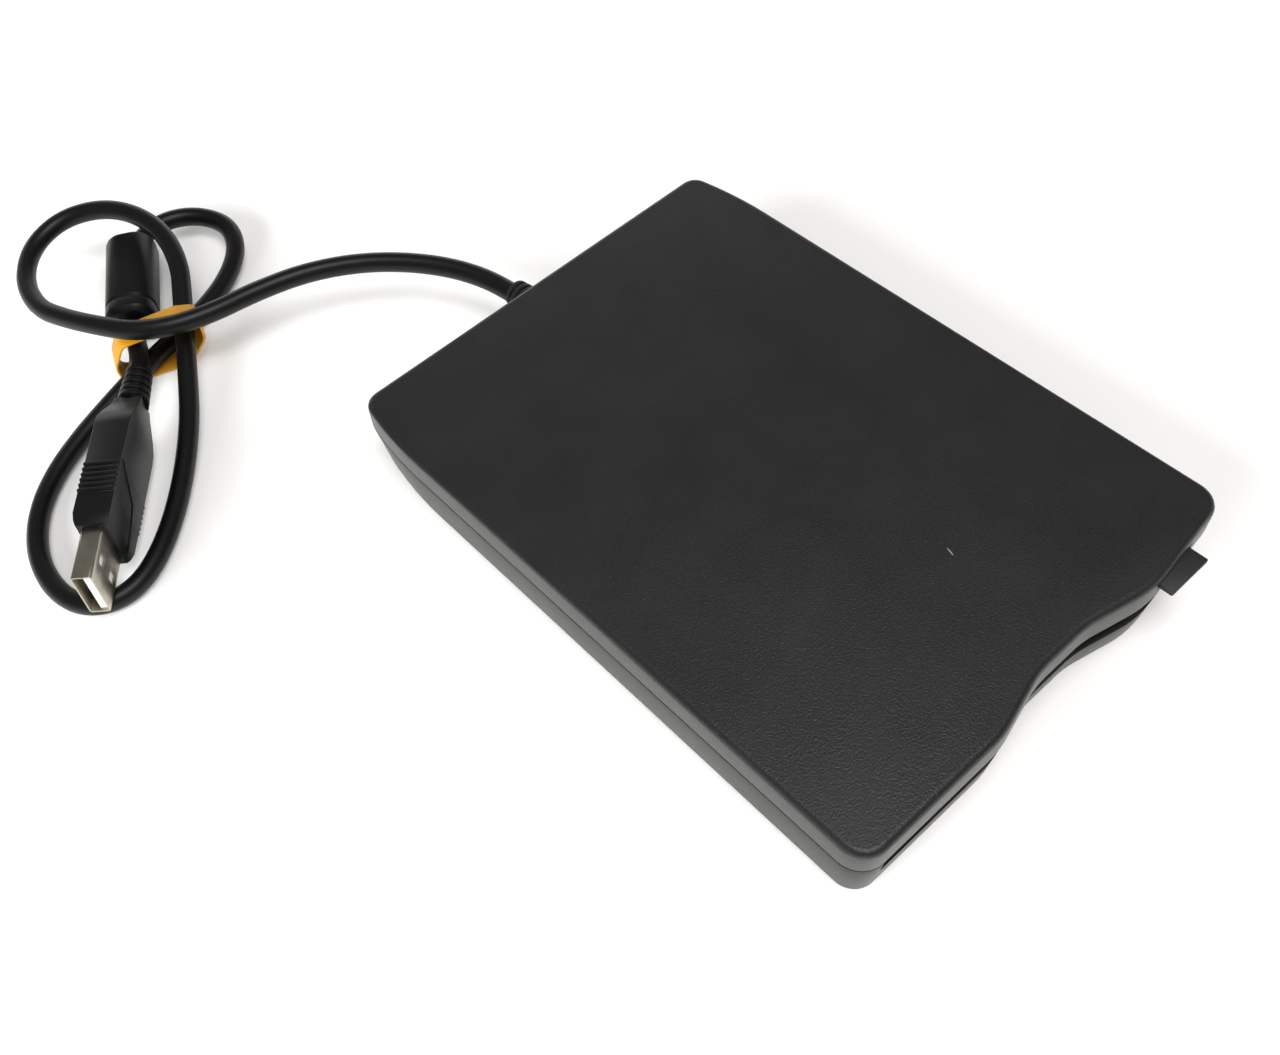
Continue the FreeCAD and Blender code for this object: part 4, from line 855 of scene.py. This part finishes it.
def even_points(line, count):
    """So many points at even distances along a closed line."""
    loop = line + [line[0]]
    runs = [(b - a).length for a, b in zip(loop, loop[1:])]
    step = sum(runs) / count
    points, i, gone = [], 0, 0.0
    for k in range(count):
        target = k * step
        while gone + runs[i] < target:
            gone += runs[i]
            i += 1
        points.append(loop[i].lerp(loop[i + 1], (target - gone) / max(runs[i], 1e-9)))
    return points


def model_band():
    let_go()
    bpy.ops.mesh.primitive_cylinder_add(vertices=BAND_SIDES, radius=1, depth=1, end_fill_type="NOTHING")
    piece = bpy.context.object
    piece.name = piece.data.name = "band_strip"
    across = Vector((math.cos(band_heading), math.sin(band_heading), 0))
    along = Vector((-across.y, across.x, 0)) * -1
    spots = even_points(rounded_line(band_outline), BAND_SIDES)
    for point in piece.data.vertices:
        turn = math.atan2(point.co.y, point.co.x) % (2 * math.pi)
        spot = spots[round(turn / (2 * math.pi) * BAND_SIDES) % BAND_SIDES]
        run = BAND_START + (point.co.z + 0.5) * BAND_WIDTH
        point.co = (band_centre + across * spot.x + along * run + Vector((0, 0, spot.y))) * MM
    tidy_normals(piece)
    wall = piece.modifiers.new("wall", "SOLIDIFY")
    wall.thickness = BAND_THICKNESS * MM
    wall.offset = 1
    bpy.ops.object.modifier_apply(modifier="wall")
    return piece


band = model_band()
soften(band, 0.15, segments=2)
settle(band, "case", "band_rubber", "cord_band")

# %% [markdown]
# ## Wound springs
# In the imported model the springs are plain tubes. Each is wound here from round wire: a small circle is
# swept along a helix by the screw modifier, and its two cut ends are closed. The two long springs hang
# between the case and the slider.

# %% The springs
WIRE, WIRE_SIDES, TURN_STEPS = 0.35, 8, 18
DRAW_TURNS = 30


def wind(name, radius, length, turns):
    """A spring along Z from 0 to its length, with its wire inside the radius."""
    let_go()
    bpy.ops.mesh.primitive_circle_add(vertices=WIRE_SIDES, radius=WIRE / 2 * MM,
                                      rotation=(math.pi / 2, 0, 0),
                                      location=((radius - WIRE / 2) * MM, 0, WIRE / 2 * MM))
    piece = bpy.context.object
    piece.name = piece.data.name = name
    bpy.ops.object.transform_apply(location=True, rotation=True, scale=True)
    screw = piece.modifiers.new("coil", "SCREW")
    screw.steps = screw.render_steps = TURN_STEPS
    screw.iterations = turns
    screw.screw_offset = (length - WIRE) / turns * MM
    bpy.ops.object.modifier_apply(modifier="coil")
    bpy.ops.object.mode_set(mode="EDIT")
    bpy.ops.mesh.select_mode(type="EDGE")
    bpy.ops.mesh.select_all(action="DESELECT")
    bpy.ops.mesh.select_non_manifold()
    bpy.ops.mesh.fill_holes(sides=WIRE_SIDES)
    bpy.ops.object.mode_set(mode="OBJECT")
    tidy_normals(piece)
    bpy.ops.object.shade_smooth_by_angle(angle=math.radians(50))
    return piece


def spring_between(name, low, high, axis, turns):
    """A spring that fills a box along one axis, in millimetres."""
    middle = (low + high) / 2
    middle[axis] = low[axis]
    other = (axis + 1) % 3
    piece = wind(name, (high[other] - low[other]) / 2, high[axis] - low[axis], turns)
    turn = Matrix.Identity(4)
    if axis != 2:
        turn = Matrix.Rotation(math.radians(90), 4, "Y") if axis == 0 else ALONG_Y
    place_in(piece, Matrix.Translation(middle * MM) @ turn)
    return piece


low, high = [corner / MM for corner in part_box("eject_springs")]
across = high.z - low.z
pair = []
for side, (x0, x1) in enumerate(((low.x, low.x + across), (high.x - across, high.x))):
    pair.append(spring_between(f"draw_spring_{side}", Vector((x0, low.y, low.z)),
                               Vector((x1, high.y, high.z)), 1, DRAW_TURNS))
let_go()
for spring in pair:
    spring.select_set(True)
bpy.context.view_layer.objects.active = pair[0]
bpy.ops.object.join()
draw_springs = pair[0]
dress(draw_springs, "spring_steel")
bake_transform(draw_springs)
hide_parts("eject_springs")
print("draw springs faces", len(draw_springs.data.polygons))

for node, axis, turns in (("door_spring", 0, 8), ("lever_spring", 2, 3)):
    low, high = [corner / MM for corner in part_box(node)]
    settle(spring_between(node + "_wire", low, high, axis, turns), "case", "spring_steel", node)

# %% [markdown]
# ## The cord takes its place
# The cord rides on the case and names the pieces that go with it. The photograph shows the cord from
# end to end.

settle(cord, "case", "cord_rubber", "usb_cord")

# %% [markdown]
# ## Floor and light
# The drive lies on a white sheet under soft light. A wide lamp at the left lights the side walls and
# another the front, and neither shows as a reflection. A low strip behind gives the rear edges their
# rim, a small lamp overhead leaves its sheen on the front left of the top, and the sky gives the rest.
# The floor adds a little light of its own, and for the camera it turns fully white further out, so that
# it reads as paper and still takes the object's soft shadow.


# %% The floor
FLOOR_SIZE = 12.0
NEAR_FLOOR, FAR_FLOOR = 0.35, 0.9
FLOOR_LIFT = 0.12
PAPER = (0.87, 0.86, 0.84, 1)


def add_floor():
    """The white sheet that the drive lies on."""
    let_go()
    bpy.ops.mesh.primitive_plane_add(size=FLOOR_SIZE, location=(0, 0, 0))
    floor = bpy.context.object
    floor.name = "floor"
    paint = Paint("paper")
    rays = paint.tree.nodes.new("ShaderNodeLightPath")
    camera_sees, mirror_sees, glass_sees = [
        Flow(paint, rays.outputs[f"Is {kind} Ray"]) for kind in ("Camera", "Glossy", "Transmission")]
    away = paint.node("ShaderNodeVectorMath", {"operation": "LENGTH"}, {0: paint.place}, "Value")
    far = paint.band(away, NEAR_FLOOR, FAR_FLOOR)
    lift = (camera_sees + mirror_sees + glass_sees) * FLOOR_LIFT + camera_sees * far
    glow = paint.node("ShaderNodeEmission", {}, {"Color": (1, 1, 1, 1), "Strength": lift})
    paint.set(Base_Color=PAPER, Roughness=0.9, Specular_IOR_Level=0.1)
    both = paint.tree.nodes.new("ShaderNodeAddShader")
    paint.tree.links.new(paint.shader.outputs[0], both.inputs[0])
    paint.tree.links.new(glow.socket, both.inputs[1])
    paint.tree.links.new(both.outputs[0], paint.end.inputs[0])
    floor.data.materials.append(paint.material)
    floor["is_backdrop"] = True


add_floor()


# %% The lamps and the sky
def add_lamp(name, place, aim, size, power, mirrored=True):
    """A rectangular lamp, in metres and watts. Without mirrored it lights but shows in no reflection."""
    data = bpy.data.lights.new(name, "AREA")
    data.shape = "RECTANGLE"
    data.size, data.size_y = size
    data.energy = power
    lamp = bpy.data.objects.new(name, data)
    bpy.context.scene.collection.objects.link(lamp)
    lamp.location = place
    lamp.rotation_euler = (Vector(aim) - Vector(place)).to_track_quat("-Z", "Y").to_euler()
    lamp.visible_glossy = mirrored


add_lamp("left_window", (-0.9, 0.1, 0.4), (0, 0, 0), (0.8, 0.5), 14.0, mirrored=False)
add_lamp("front_soft", (-0.2, -0.9, 0.6), (0, 0, 0), (0.9, 0.6), 5.0, mirrored=False)
add_lamp("rear_glow", (0.5, 1.1, 0.2), (0, 0, 0), (1.6, 0.3), 3.0)
add_lamp("ceiling", (0.0, -0.25, 1.1), (0, 0.05, 0), (0.6, 0.6), 7.0)


def add_sky(strength):
    """Plain white for the camera, and light of the given strength for all the rest."""
    world = bpy.data.worlds.new("sky")
    world.use_nodes = True
    tree = world.node_tree
    background = tree.nodes["Background"]
    rays = tree.nodes.new("ShaderNodeLightPath")
    grow = tree.nodes.new("ShaderNodeMath")
    grow.operation = "MAXIMUM"
    grow.inputs[1].default_value = strength
    tree.links.new(rays.outputs["Is Camera Ray"], grow.inputs[0])
    tree.links.new(grow.outputs[0], background.inputs["Strength"])
    background.inputs["Color"].default_value = (1, 1, 1, 1)
    bpy.context.scene.world = world


SKY = 0.2
add_sky(SKY)
bpy.context.scene.view_settings.view_transform = "Standard"

# %% [markdown]
# ## Measure and finish
# The last cell prints the box round all the shown pieces, so that the looks can be held against the
# real size.

# %% Sizes and the end
low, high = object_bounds()
print("visual box", [round(v / MM, 1) for v in (*low, *high)])
